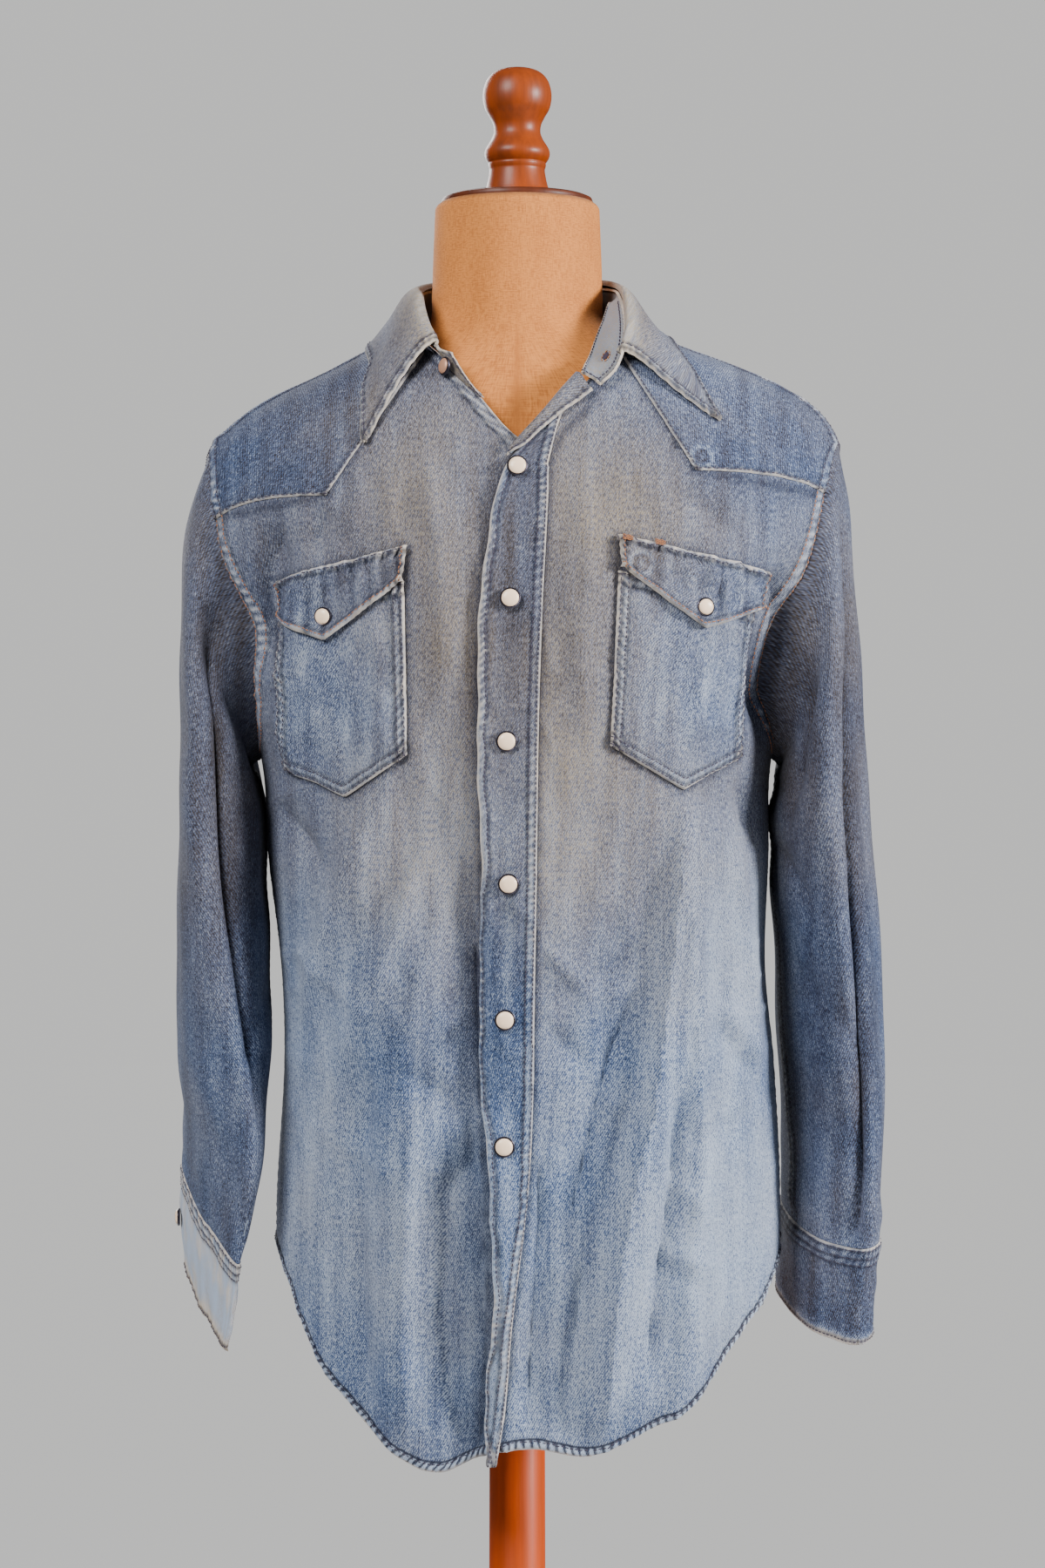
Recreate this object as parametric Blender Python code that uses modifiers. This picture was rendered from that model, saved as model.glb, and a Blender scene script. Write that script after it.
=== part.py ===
"""Denim snap-front western shirt on a limbless linen dress form, in metres, +Z up.

The form stands on a turned round base whose bottom centre is the origin. The shirt faces -Y, and the
wearer's left is +X. Each sewn piece is its own cloth wall, laid on one torso surface that is worked out
from a short table of level sections.
"""
import math

import bmesh
import bpy
from mathutils import Matrix, Vector

OBJECT_NAME = "denim_shirt_on_dress_form"

WALL = 0.0014            # one layer of denim
SEAM_GAP = 0.0003        # clearance between sewn edges
LIE_GAP = 0.0009         # clearance under a piece that lies on a panel

NECK_Z = 1.428           # side neck point
SHOULDER_Z = 1.343       # top of the armholes
ARMPIT_Z = 1.120
ARMHOLE_FRONT = 27.0     # how far the armhole seam swings to the front, degrees round the body
ARMHOLE_BACK = 22.0
SHOULDER_SEAM = 76.0     # front edge of the back yoke, degrees round the body
TAIL_Z = 0.800           # below this level the panels follow their curved hems
FRONT_TAIL_SHARE = 0.24  # share of a front's rows below TAIL_Z
BACK_TAIL_SHARE = 0.20
POLE_RADIUS = 0.0195
BASE_RADIUS = 0.205

# level sections of the torso: half width to the wearer's right and left, depth to front and back,
# squareness of the oval
TORSO = [
    # z, right, left, front, back, square
    (1.450, 0.0640, 0.0640, 0.064, 0.062, 2.0),
    (1.428, 0.0760, 0.0800, 0.074, 0.072, 2.0),
    (1.410, 0.1020, 0.1160, 0.084, 0.082, 2.1),
    (1.390, 0.1390, 0.1700, 0.093, 0.094, 2.2),
    (1.370, 0.1810, 0.2090, 0.100, 0.104, 2.3),
    (1.350, 0.2090, 0.2270, 0.106, 0.111, 2.4),
    (1.330, 0.2250, 0.2310, 0.111, 0.116, 2.4),
    (1.290, 0.2290, 0.2290, 0.119, 0.122, 2.4),
    (1.250, 0.2240, 0.2220, 0.126, 0.126, 2.4),
    (1.210, 0.2080, 0.2080, 0.130, 0.127, 2.4),
    (1.160, 0.1930, 0.1900, 0.131, 0.126, 2.4),
    (1.110, 0.1810, 0.1800, 0.131, 0.123, 2.4),
    (1.050, 0.1775, 0.1790, 0.129, 0.119, 2.4),
    (0.970, 0.1680, 0.1765, 0.126, 0.114, 2.4),
    (0.900, 0.1660, 0.1830, 0.124, 0.114, 2.3),
    (0.800, 0.1715, 0.1875, 0.122, 0.118, 2.2),
    (0.700, 0.1700, 0.1840, 0.118, 0.118, 2.2),
    (0.600, 0.1650, 0.1780, 0.114, 0.116, 2.2),
]

# inner edge of each front above the opening of the collar: x of the edge at each level
NECK_EDGE = [
    # z, right front, left front
    (1.428, -0.0740, 0.0780),
    (1.410, -0.0640, 0.0700),
    (1.390, -0.0440, 0.0560),
    (1.370, -0.0270, 0.0410),
    (1.350, -0.0110, 0.0220),
    (1.334, 0.0040, 0.0090),
    (1.310, 0.0080, 0.0120),
    (0.930, 0.0060, 0.0100),
    (0.815, -0.0005, 0.0040),
    (0.730, -0.0090, -0.0050),
    (0.670, -0.0145, -0.0105),
    (0.600, -0.0190, -0.0150),
]

# shirt-tail hem of the fronts, from the wearer's right side seam to the left
FRONT_HEM = [
    # x, z
    (-0.190, 0.795),
    (-0.172, 0.775),
    (-0.152, 0.722),
    (-0.137, 0.690),
    (-0.107, 0.656),
    (-0.087, 0.636),
    (-0.056, 0.626),
    (-0.030, 0.636),
    (0.010, 0.643),
    (0.049, 0.637),
    (0.073, 0.644),
    (0.100, 0.658),
    (0.119, 0.668),
    (0.136, 0.690),
    (0.157, 0.716),
    (0.173, 0.734),
    (0.186, 0.762),
    (0.200, 0.790),
]

# the front placket, as a strip from edge to edge
PLACKET = [
    # z, right edge x, left edge x
    (1.378, 0.0400, 0.0560),
    (1.360, 0.0270, 0.0500),
    (1.340, 0.0080, 0.0300),
    (1.320, -0.0060, 0.0225),
    (1.300, -0.0140, 0.0215),
    (1.270, -0.0200, 0.0200),
    (1.223, -0.0250, 0.0175),
    (1.150, -0.0270, 0.0150),
    (1.024, -0.0245, 0.0133),
    (0.950, -0.0262, 0.0120),
    (0.880, -0.0240, 0.0110),
    (0.815, -0.0185, 0.0075),
    (0.730, -0.0170, -0.0030),
    (0.670, -0.0225, -0.0080),
    (0.632, -0.0215, -0.0140),
]
SNAPS = [
    # x, z
    (0.0002, 1.317), (-0.0046, 1.226), (-0.0070, 1.129), (-0.0058, 1.032), (-0.0081, 0.939), (-0.0087, 0.852),
]
SNAP_RADIUS = 0.0061
CUFF_SNAP_TURN = 162     # the cuffs fasten on their back

# collar stations round the neck, from the wearer's right front end to the left front end:
# the seam to the shirt, the fold at the top of the stand, and the free edge of the leaf
COLLAR = [
    # seam angle, level, fold x, y, z, leaf angle, level, leaf lift
    (-7.2, 1.3730, -0.0575, -0.0900, 1.4060, -23.0, 1.3390, 0.0060),
    (-18.4, 1.3930, -0.0640, -0.0740, 1.4230, -32.0, 1.3640, 0.0060),
    (-50.0, 1.4190, -0.0700, -0.0400, 1.4480, -52.0, 1.3930, 0.0070),
    (-90.0, 1.4310, -0.0705, 0.0000, 1.4585, -90.0, 1.4080, 0.0070),
    (-135.0, 1.4310, -0.0500, 0.0500, 1.4680, -135.0, 1.4120, 0.0070),
    (-180.0, 1.4310, 0.0000, 0.0700, 1.4700, -180.0, 1.4120, 0.0070),
    (-225.0, 1.4310, 0.0500, 0.0500, 1.4700, -225.0, 1.4120, 0.0070),
    (-270.0, 1.4310, 0.0700, 0.0000, 1.4630, -270.0, 1.4110, 0.0070),
    (-308.0, 1.4190, 0.0770, -0.0440, 1.4460, -303.0, 1.4010, 0.0070),
    (-340.3, 1.3950, 0.0780, -0.0800, 1.4170, -319.7, 1.3800, 0.0065),
    (-347.8, 1.3800, 0.0740, -0.0940, 1.3960, -323.4, 1.3570, 0.0060),
]
STAND_LIFT = 0.0025      # the stand rises from just outside the panels' neck edges

# sleeve rings below the armhole: outer and inner edge, front and back edge, how much lower the front of
# the ring lies than its middle, and how far round the ring the front edge is turned outwards
RIGHT_SLEEVE = [
    # outer x, outer z, inner x, inner z, front y, back y, drop, turn
    (0.2360, 1.2850, 0.1905, 1.1120, -0.0800, 0.0840, 0.000, 0.0),
    (0.2400, 1.2000, 0.1890, 1.0950, -0.0900, 0.0900, 0.000, 0.0),
    (0.2420, 1.1200, 0.1870, 1.0650, -0.0920, 0.0900, 0.000, 0.0),
    (0.2430, 1.0500, 0.1840, 1.0200, -0.0900, 0.0860, 0.004, -4.0),
    (0.2465, 0.9700, 0.1770, 0.9600, -0.0840, 0.0800, 0.010, -10.0),
    (0.2460, 0.9000, 0.1760, 0.8950, -0.0780, 0.0720, 0.018, -20.0),
    (0.2445, 0.8420, 0.1800, 0.8380, -0.0720, 0.0640, 0.030, -32.0),
    (0.2460, 0.7960, 0.1940, 0.7920, -0.0640, 0.0560, 0.044, -40.0),
]
LEFT_SLEEVE = [
    (0.2400, 1.3000, 0.1890, 1.1120, -0.0800, 0.0860, 0.000, 0.0),
    (0.2470, 1.2100, 0.1880, 1.0950, -0.0880, 0.0920, 0.000, 0.0),
    (0.2510, 1.1250, 0.1880, 1.0650, -0.0880, 0.0920, 0.000, 0.0),
    (0.2545, 1.0500, 0.1880, 1.0200, -0.0820, 0.0900, 0.002, 6.0),
    (0.2590, 0.9600, 0.1885, 0.9450, -0.0760, 0.0880, 0.006, 16.0),
    (0.2600, 0.8800, 0.1920, 0.8700, -0.0700, 0.0820, 0.010, 26.0),
    (0.2580, 0.8200, 0.1935, 0.8150, -0.0620, 0.0760, 0.014, 34.0),
    (0.2560, 0.7920, 0.1935, 0.7860, -0.0560, 0.0730, 0.017, 38.0),
]
RIGHT_CUFF = [
    (0.2460, 0.7956, 0.1940, 0.7916, -0.0640, 0.0560, 0.044, -40.0),
    (0.2470, 0.7600, 0.1990, 0.7570, -0.0600, 0.0520, 0.043, -40.0),
    (0.2430, 0.7290, 0.2040, 0.7290, -0.0570, 0.0500, 0.032, -40.0),
]
LEFT_CUFF = [
    (0.2560, 0.7916, 0.1935, 0.7856, -0.0560, 0.0730, 0.017, 38.0),
    (0.2530, 0.7560, 0.1915, 0.7520, -0.0530, 0.0700, 0.018, 38.0),
    (0.2510, 0.7240, 0.1890, 0.7220, -0.0500, 0.0680, 0.019, 38.0),
]

# large folds of the fronts: a soft trough (+) or ridge (-) along a line, sunk by its depth
FOLDS = [
    # top x, z, bottom x, z, width, depth
    (0.1160, 1.070, 0.0600, 0.680, 0.034, 0.0060),
    (0.1450, 1.000, 0.0950, 0.700, 0.030, -0.0040),
    (-0.0400, 0.840, -0.0330, 0.620, 0.030, 0.0060),
    (-0.0950, 1.090, -0.1500, 0.930, 0.030, -0.0035),
]

POCKET_RIGHT = [(-0.1690, 1.2160), (-0.0765, 1.2380), (-0.0745, 1.1200), (-0.1165, 1.0910), (-0.1585, 1.1105)]
POCKET_LEFT = [(0.0690, 1.2460), (0.1645, 1.2200), (0.1535, 1.1185), (0.1128, 1.0960), (0.0635, 1.1262)]
FLAP_RIGHT = [(-0.1745, 1.2400), (-0.0740, 1.2620), (-0.0770, 1.2380), (-0.1300, 1.1990), (-0.1710, 1.2150)]
FLAP_LEFT = [(0.0690, 1.2700), (0.1740, 1.2470), (0.1685, 1.2215), (0.1262, 1.2070), (0.0705, 1.2480)]
FLAP_SNAPS = {"right": (-0.1306, 1.2153), "left": (0.1265, 1.2216)}

# front yokes: inner edge from the collar down to the corner, then the lower edge out to the armhole
YOKE_CORNER = {"right": (-0.1315, 1.299), "left": (0.1227, 1.316)}
YOKE_INNER_TOP = {"right": (-0.0960, 1.352), "left": (0.0800, 1.385)}
YOKE_END_Z = {"right": 1.284, "left": 1.303}
BACK_YOKE_Z = 1.285      # level of the back yoke seam at the armholes
BACK_YOKE_POINT = 0.035  # how far its middle point comes down

# linen form: smaller than the shirt below the shoulders
FORM = [
    # z, right, left, front, back, square
    (1.5160, 0.0588, 0.0588, 0.0600, 0.0600, 2.0),
    (1.4700, 0.0606, 0.0606, 0.0610, 0.0600, 2.0),
    (1.4500, 0.0612, 0.0612, 0.0630, 0.0600, 2.0),
    (1.4280, 0.0640, 0.0650, 0.0655, 0.0630, 2.0),
    (1.4100, 0.0850, 0.0950, 0.0700, 0.0700, 2.0),
    (1.3900, 0.1260, 0.1480, 0.0790, 0.0830, 2.1),
    (1.3700, 0.1650, 0.1830, 0.0860, 0.0940, 2.2),
    (1.3500, 0.1880, 0.1960, 0.0930, 0.1020, 2.2),
    (1.3200, 0.1960, 0.1980, 0.1000, 0.1060, 2.2),
    (1.2600, 0.1900, 0.1900, 0.1080, 0.1080, 2.2),
    (1.2000, 0.1780, 0.1780, 0.1120, 0.1080, 2.2),
    (1.1200, 0.1640, 0.1640, 0.1110, 0.1020, 2.2),
    (1.0000, 0.1470, 0.1490, 0.1020, 0.0930, 2.2),
    (0.9200, 0.1460, 0.1500, 0.0990, 0.0960, 2.2),
    (0.8500, 0.1490, 0.1540, 0.0980, 0.1000, 2.2),
    (0.8000, 0.1460, 0.1520, 0.0960, 0.0980, 2.2),
]


def smooth(rows, at, column):
    """Value of a table's column where its first column is at, on a smooth curve through the rows."""
    ordered = sorted(rows, key=lambda row: row[0])
    if at <= ordered[0][0]:
        return ordered[0][column]
    if at >= ordered[-1][0]:
        return ordered[-1][column]
    k = max(i for i in range(len(ordered) - 1) if ordered[i][0] <= at)

    def slope(i):
        low, high = max(i - 1, 0), min(i + 1, len(ordered) - 1)
        return (ordered[high][column] - ordered[low][column]) / (ordered[high][0] - ordered[low][0])

    span = ordered[k + 1][0] - ordered[k][0]
    t = (at - ordered[k][0]) / span
    return ((2 * t**3 - 3 * t**2 + 1) * ordered[k][column] + (t**3 - 2 * t**2 + t) * span * slope(k)
            + (3 * t**2 - 2 * t**3) * ordered[k + 1][column] + (t**3 - t**2) * span * slope(k + 1))


def level(rows, at):
    """A whole row of a table at a level, with its first column left out."""
    return [smooth(rows, at, column) for column in range(1, len(rows[0]))]


def signed_power(value, power):
    return math.copysign(abs(value) ** power, value)


def oval(rows, angle, z):
    """Point of a level section. The angle runs from the middle front, 90 on the wearer's left."""
    right, left, front, back, square = level(rows, z)
    turn = math.radians(angle)
    across, ahead = math.sin(turn), math.cos(turn)
    width = left if across > 0 else right
    depth = front if ahead > 0 else back
    return Vector((width * signed_power(across, 2 / square), -depth * signed_power(ahead, 2 / square), z))


def angle_at(rows, x, z):
    """Angle round a level section where its front half has this x."""
    right, left, _, _, square = level(rows, z)
    share = min(abs(x) / (left if x > 0 else right), 1.0)
    return math.copysign(math.degrees(math.asin(share ** (square / 2))), x)


def fold_sink(x, z):
    """How far the large folds sink the fronts."""
    total = 0.0
    for top_x, top_z, bottom_x, bottom_z, width, depth in FOLDS:
        along = (top_z - z) / (top_z - bottom_z)
        if -0.1 < along < 1.1:
            away = (x - top_x - (bottom_x - top_x) * along) / width
            fade = math.sin(math.pi * min(max((along + 0.1) / 1.2, 0), 1)) ** 0.7
            total += depth * fade * math.exp(-4 * away * away)
    return total


def torso(angle, z, lift=0.0):
    """Point of the shirt's torso, moved out along its normal by lift."""
    point = oval(TORSO, angle, z)
    step = 0.5
    across = oval(TORSO, angle + step, z) - oval(TORSO, angle - step, z)
    up = oval(TORSO, angle, z + 0.002) - oval(TORSO, angle, z - 0.002)
    normal = across.cross(up).normalized()
    sink = fold_sink(point.x, z) if abs(angle) < 90 else 0.0
    return point + normal * (lift - sink)


def on_front(x, z, lift=0.0):
    return torso(angle_at(TORSO, x, z), z, lift)


def armhole(turn):
    """Point of the armhole seam: angle round the body (for the wearer's left) and level.

    The turn runs from the front of the armhole, 90 at the shoulder.
    """
    ahead, up = math.cos(math.radians(turn)), math.sin(math.radians(turn))
    middle, half = (SHOULDER_Z + ARMPIT_Z) / 2, (SHOULDER_Z - ARMPIT_Z) / 2
    swing = ARMHOLE_FRONT if ahead > 0 else ARMHOLE_BACK
    lean = (90 - SHOULDER_SEAM - 6) * max(up, 0) ** 3
    return 90 - swing * ahead - lean, middle + half * up


def armhole_angle(z, front):
    """Angle round the body of the armhole seam at a level, on its front or its back."""
    middle, half = (SHOULDER_Z + ARMPIT_Z) / 2, (SHOULDER_Z - ARMPIT_Z) / 2
    up = min(max((z - middle) / half, -1.0), 1.0)
    turn = math.degrees(math.asin(up))
    return armhole(turn if front else 180 - turn)[0]


def seam_room(z):
    """Angle that keeps a seam's clearance at a level."""
    return math.degrees(1.2 * SEAM_GAP / smooth(TORSO, z, 3))


def front_edge(z):
    """Outer edge of a front: side seam, armhole, then shoulder seam."""
    if z <= ARMPIT_Z:
        return 90.0 - seam_room(z)
    if z < SHOULDER_Z:
        return armhole_angle(z, True) - seam_room(z) * 1.6
    return SHOULDER_SEAM - seam_room(z)


def back_edge(z):
    """Outer edge of the back and its yoke: side seam, armhole, then the front edge of the yoke."""
    if z <= ARMPIT_Z:
        return 90.0 + seam_room(z)
    if z < SHOULDER_Z:
        return armhole_angle(z, False) + seam_room(z) * 1.6
    return SHOULDER_SEAM + seam_room(z)


def back_yoke_seam(angle):
    """Level of the back yoke seam: straight from the armholes to a shallow point in the middle."""
    share = max(0.0, 1 - abs(angle - 180) / 58)
    return BACK_YOKE_Z - BACK_YOKE_POINT * share


def front_hem(x):
    return smooth(FRONT_HEM, x, 1)


def back_hem(angle):
    across = abs(math.sin(math.radians(angle))) ** 0.9
    return 0.622 + 0.150 * across ** 2.8


def collection(name):
    made = bpy.data.collections.new(name)
    bpy.context.scene.collection.children.link(made)
    return made


def material(name, colour, roughness, metallic=0.0):
    made = bpy.data.materials.new(name)
    made.use_nodes = True
    shader = made.node_tree.nodes["Principled BSDF"]
    shader.inputs["Base Color"].default_value = (*colour, 1.0)
    shader.inputs["Roughness"].default_value = roughness
    shader.inputs["Metallic"].default_value = metallic
    return made


def add_object(name, bm, finish):
    mesh = bpy.data.meshes.new(name)
    bm.to_mesh(mesh)
    bm.free()
    made = bpy.data.objects.new(name, mesh)
    made.data.materials.append(finish)
    PARTS.objects.link(made)
    return made


def sheet_mesh(columns, rows, place):
    """Open grid whose vertices go to place(across, along), both from 0 to 1."""
    bm = bmesh.new()
    bmesh.ops.create_grid(bm, x_segments=columns, y_segments=rows, size=1.0)
    for vertex in bm.verts:
        across, along = (vertex.co.x + 1) / 2, (vertex.co.y + 1) / 2
        vertex.co = place(across, along)
    bmesh.ops.remove_doubles(bm, verts=bm.verts, dist=0.00001)
    return bm


def cloth(name, columns, rows, place, thickness=WALL, flip=False):
    """Cloth wall, centred on its surface."""
    bm = sheet_mesh(columns, rows, place)
    if flip:
        bmesh.ops.reverse_faces(bm, faces=bm.faces)
    made = add_object(name, bm, DENIM)
    wall = made.modifiers.new("wall", "SOLIDIFY")
    wall.thickness = thickness
    wall.offset = 0.0
    return made


def front_levels(share):
    """Rows of a front lie closer together near the armpit and the shoulder."""
    return share + 0.035 * math.sin(2 * math.pi * share)


def add_front(side):
    sign = 1 if side == "left" else -1
    column = 2 if side == "left" else 1

    def place(across, along):
        body_share = max(0.0, (along - FRONT_TAIL_SHARE) / (1 - FRONT_TAIL_SHARE))
        z = TAIL_Z + (NECK_Z - 0.003 - TAIL_Z) * front_levels(body_share)
        inner = angle_at(TORSO, smooth(NECK_EDGE, z, column), z)
        outer = sign * front_edge(z)
        angle = inner + (outer - inner) * across
        if along < FRONT_TAIL_SHARE:
            hem = front_hem(oval(TORSO, angle, TAIL_Z).x)
            z = hem + (TAIL_Z - hem) * along / FRONT_TAIL_SHARE
        return torso(angle, z)

    cloth("front_" + side, 11, 24, place, flip=sign < 0)


def add_back():
    def place(across, along):
        if along < BACK_TAIL_SHARE:
            edge = back_edge(TAIL_Z)
            angle = edge + (360 - 2 * edge) * across
            z = back_hem(angle) + (TAIL_Z - back_hem(angle)) * along / BACK_TAIL_SHARE
            return torso(angle, z)
        share = (along - BACK_TAIL_SHARE) / (1 - BACK_TAIL_SHARE)
        z = TAIL_Z + (BACK_YOKE_Z - TAIL_Z) * share
        edge = back_edge(z)
        angle = edge + (360 - 2 * edge) * across
        if z > 1.15:
            z += (back_yoke_seam(angle) - SEAM_GAP - BACK_YOKE_Z) * (z - 1.15) / (BACK_YOKE_Z - 1.15)
        return torso(angle, z)

    cloth("back", 16, 20, place)


def add_back_yoke():
    def place(across, along):
        z = BACK_YOKE_Z + (NECK_Z - BACK_YOKE_Z) * along
        edge = back_edge(z)
        angle = edge + (360 - 2 * edge) * across
        if z < SHOULDER_Z:
            point = back_yoke_seam(angle) + SEAM_GAP - BACK_YOKE_Z
            z += point * (SHOULDER_Z - z) / (SHOULDER_Z - BACK_YOKE_Z)
        return torso(angle, z)

    cloth("back_yoke", 18, 8, place)


def add_front_yoke(side):
    """Pointed western yoke, laid on the front from its lower edge up to the shoulder seam."""
    sign = 1 if side == "left" else -1
    corner_x, corner_z = YOKE_CORNER[side]
    inner_x, inner_z = YOKE_INNER_TOP[side]
    end_z = YOKE_END_Z[side]
    lift = WALL + LIE_GAP * 2
    column = 2 if side == "left" else 1

    def place(across, along):
        top = NECK_Z - 0.016
        z = corner_z + (top - corner_z) * along
        slope = (inner_x - corner_x) / (inner_z - corner_z)
        neck = sign * smooth(NECK_EDGE, z, column) + 0.011
        inner = max(sign * (corner_x + slope * (z - corner_z)), neck)
        start = angle_at(TORSO, sign * inner, z)
        end = sign * (front_edge(z) - 0.8)
        angle = start + (end - start) * across
        if z < SHOULDER_Z:
            z += (end_z - corner_z) * across ** 2.5 * (SHOULDER_Z - z) / (SHOULDER_Z - corner_z)
            end = sign * (front_edge(z) - 0.8)
            angle = start + (end - start) * across
        return torso(angle, z, lift)

    cloth("front_yoke_" + side, 7, 9, place, flip=sign < 0)


def add_placket():
    def place(across, along):
        z = PLACKET[-1][0] + (PLACKET[0][0] - PLACKET[-1][0]) * along
        x = smooth(PLACKET, z, 1) * (1 - across) + smooth(PLACKET, z, 2) * across
        return on_front(x, z, WALL + LIE_GAP + 0.0004)

    cloth("placket", 3, 30, place, 0.0022)


def patch_point(corners, across, along):
    """Point of a five-cornered patch: top corners, the lower inner side and the pointed bottom."""
    top_a, top_b, low_b, tip, low_a = corners
    top = [top_a[i] + (top_b[i] - top_a[i]) * across for i in (0, 1)]
    tip_share = (tip[0] - low_a[0]) / (low_b[0] - low_a[0])
    if across < tip_share:
        share = across / tip_share
        low = [low_a[i] + (tip[i] - low_a[i]) * share for i in (0, 1)]
    else:
        share = (across - tip_share) / (1 - tip_share)
        low = [tip[i] + (low_b[i] - tip[i]) * share for i in (0, 1)]
    return [low[i] + (top[i] - low[i]) * along for i in (0, 1)]


def add_pocket(side, corners):
    def place(across, along):
        return on_front(*patch_point(corners, across, along), WALL + LIE_GAP)

    cloth("pocket_" + side, 8, 8, place)


def add_flap(side, corners):
    def place(across, along):
        lift = 2 * (WALL + LIE_GAP) + 0.0002
        return on_front(*patch_point(corners, across, along), lift)

    cloth("flap_" + side, 8, 4, place, 0.0020)


def collar_row(share):
    """Collar station at a share of the way round, on a smooth curve through the stations."""
    rows = [(index / (len(COLLAR) - 1), *row) for index, row in enumerate(COLLAR)]
    seam_turn, seam_z, fold_x, fold_y, fold_z, leaf_turn, leaf_z, leaf_lift = level(rows, share)
    fold = Vector((fold_x, fold_y, fold_z))
    return torso(seam_turn, seam_z, STAND_LIFT), fold, torso(leaf_turn, leaf_z, leaf_lift)


def add_collar():
    def stand(across, along):
        seam, fold, _ = collar_row(across)
        return seam + (fold - seam) * (0.03 + 0.97 * along)

    def leaf(across, along):
        seam, fold, edge = collar_row(across)
        out = (edge - fold)
        out.z = 0
        out.normalize()
        top = fold + Vector((0, 0, 0.0046)) - out * 0.0006
        shoulder = fold + out * 0.0072 + (edge - fold) * 0.10
        if along < 0.25:
            share = along / 0.25
            bend = math.sin(share * math.pi / 2)
            flat = 1 - math.cos(share * math.pi / 2)
            return Vector((top.x + (shoulder.x - top.x) * bend, top.y + (shoulder.y - top.y) * bend,
                           top.z + (shoulder.z - top.z) * flat))
        return shoulder + (edge - shoulder) * (along - 0.25) / 0.75

    cloth("collar_stand", 26, 3, stand, 0.0020)
    cloth("collar_leaf", 26, 6, leaf, 0.0020, flip=True)


def ring_point(row, turn, sign):
    """Point of a sleeve ring. The turn runs from the front edge, 90 at the outer edge."""
    outer_x, outer_z, inner_x, inner_z, front, back, drop, skew = row
    out = math.sin(math.radians(turn + skew))
    ahead = math.cos(math.radians(turn))
    x = (outer_x + inner_x) / 2 + (outer_x - inner_x) / 2 * signed_power(out, 0.86)
    z = (outer_z + inner_z) / 2 + (outer_z - inner_z) / 2 * out - drop * ahead
    y = (front + back) / 2 - (back - front) / 2 * signed_power(ahead, 0.9)
    return Vector((sign * x, y, z))


def armhole_point(turn, sign):
    """Point of the sleeve's top edge, just outside the armhole seam."""
    angle, z = armhole(turn)
    out = math.cos(math.radians(turn))
    nudge = (2.3 if out > 0 else 6.0) * seam_room(z)
    point = torso(sign * (angle + nudge * out), z + SEAM_GAP * 2.6 * -math.sin(math.radians(turn)))
    return point + Vector((sign * 2.8 * SEAM_GAP, 0, 0))


def add_sleeve(side, rows, cuff_rows):
    sign = 1 if side == "left" else -1
    count = len(rows)

    def place(across, along):
        turn = 360 * across
        stations = [armhole_point(turn, sign)] + [ring_point(row, turn, sign) for row in rows]
        table = [(index, *point) for index, point in enumerate(stations)]
        return Vector(level(table, (1 - along) * count))

    def cuff(across, along):
        table = [(index, *ring_point(row, 360 * across, sign)) for index, row in enumerate(cuff_rows)]
        return Vector(level(table, (1 - along) * (len(cuff_rows) - 1)))

    cloth("sleeve_" + side, 20, 18, place, flip=sign > 0)
    cloth("cuff_" + side, 20, 3, cuff, 0.0022, flip=sign > 0)


def add_form():
    top, bottom = FORM[0][0], FORM[-1][0]

    def place(across, along):
        z = bottom + (top - bottom) * along
        return oval(FORM, 360 * across, z)

    bm = sheet_mesh(32, 26, place)
    bmesh.ops.holes_fill(bm, edges=bm.edges)
    bmesh.ops.recalc_face_normals(bm, faces=bm.faces)
    add_object("form_torso", bm, LINEN)


def turned(name, profile, finish, steps=24):
    """Turned piece from its outer profile, top to bottom, closed on the axis."""
    bm = bmesh.new()
    corners = [bm.verts.new((radius, 0, z)) for radius, z in profile]
    for upper, lower in zip(corners, corners[1:]):
        bm.edges.new((upper, lower))
    made = add_object(name, bm, finish)
    screw = made.modifiers.new("turn", "SCREW")
    screw.steps = steps
    screw.render_steps = steps
    screw.use_merge_vertices = True
    screw.merge_threshold = 0.00001
    return made


def add_stand():
    top = FORM[0][0]
    cap_low = top + SEAM_GAP
    turned("neck_cap", [(0, cap_low + 0.005), (0.0570, cap_low + 0.005), (0.0585, cap_low + 0.003),
                        (0.0585, cap_low), (0, cap_low)], DARK_WOOD, 32)
    foot = cap_low + 0.005 + SEAM_GAP
    height = 1.6137 - foot
    shape = [(0.00, 1.000), (0.30, 0.992), (0.62, 0.955), (0.88, 0.880), (1.00, 0.780), (0.96, 0.690),
             (0.80, 0.590), (0.66, 0.500), (0.66, 0.450), (0.74, 0.400), (0.94, 0.370), (0.95, 0.310),
             (0.80, 0.270), (0.74, 0.220), (0.78, 0.180), (0.93, 0.130), (0.95, 0.060), (0.90, 0.000),
             (0.00, 0.000)]
    turned("finial", [(0.0245 * r, foot + height * z) for r, z in shape], DARK_WOOD, 24)
    pole_top = FORM[-1][0] - SEAM_GAP
    base_top = 0.062
    turned("pole", [(0, pole_top), (POLE_RADIUS, pole_top), (POLE_RADIUS * 1.09, base_top + SEAM_GAP),
                    (0, base_top + SEAM_GAP)], OAK, 24)
    turned("base", [(0, base_top), (0.034, base_top), (0.040, 0.056), (0.046, 0.042), (0.075, 0.034),
                    (0.170, 0.028), (0.196, 0.024), (BASE_RADIUS, 0.015), (BASE_RADIUS, 0.005),
                    (BASE_RADIUS - 0.004, 0.0), (0, 0.0)], OAK, 40)


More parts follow.
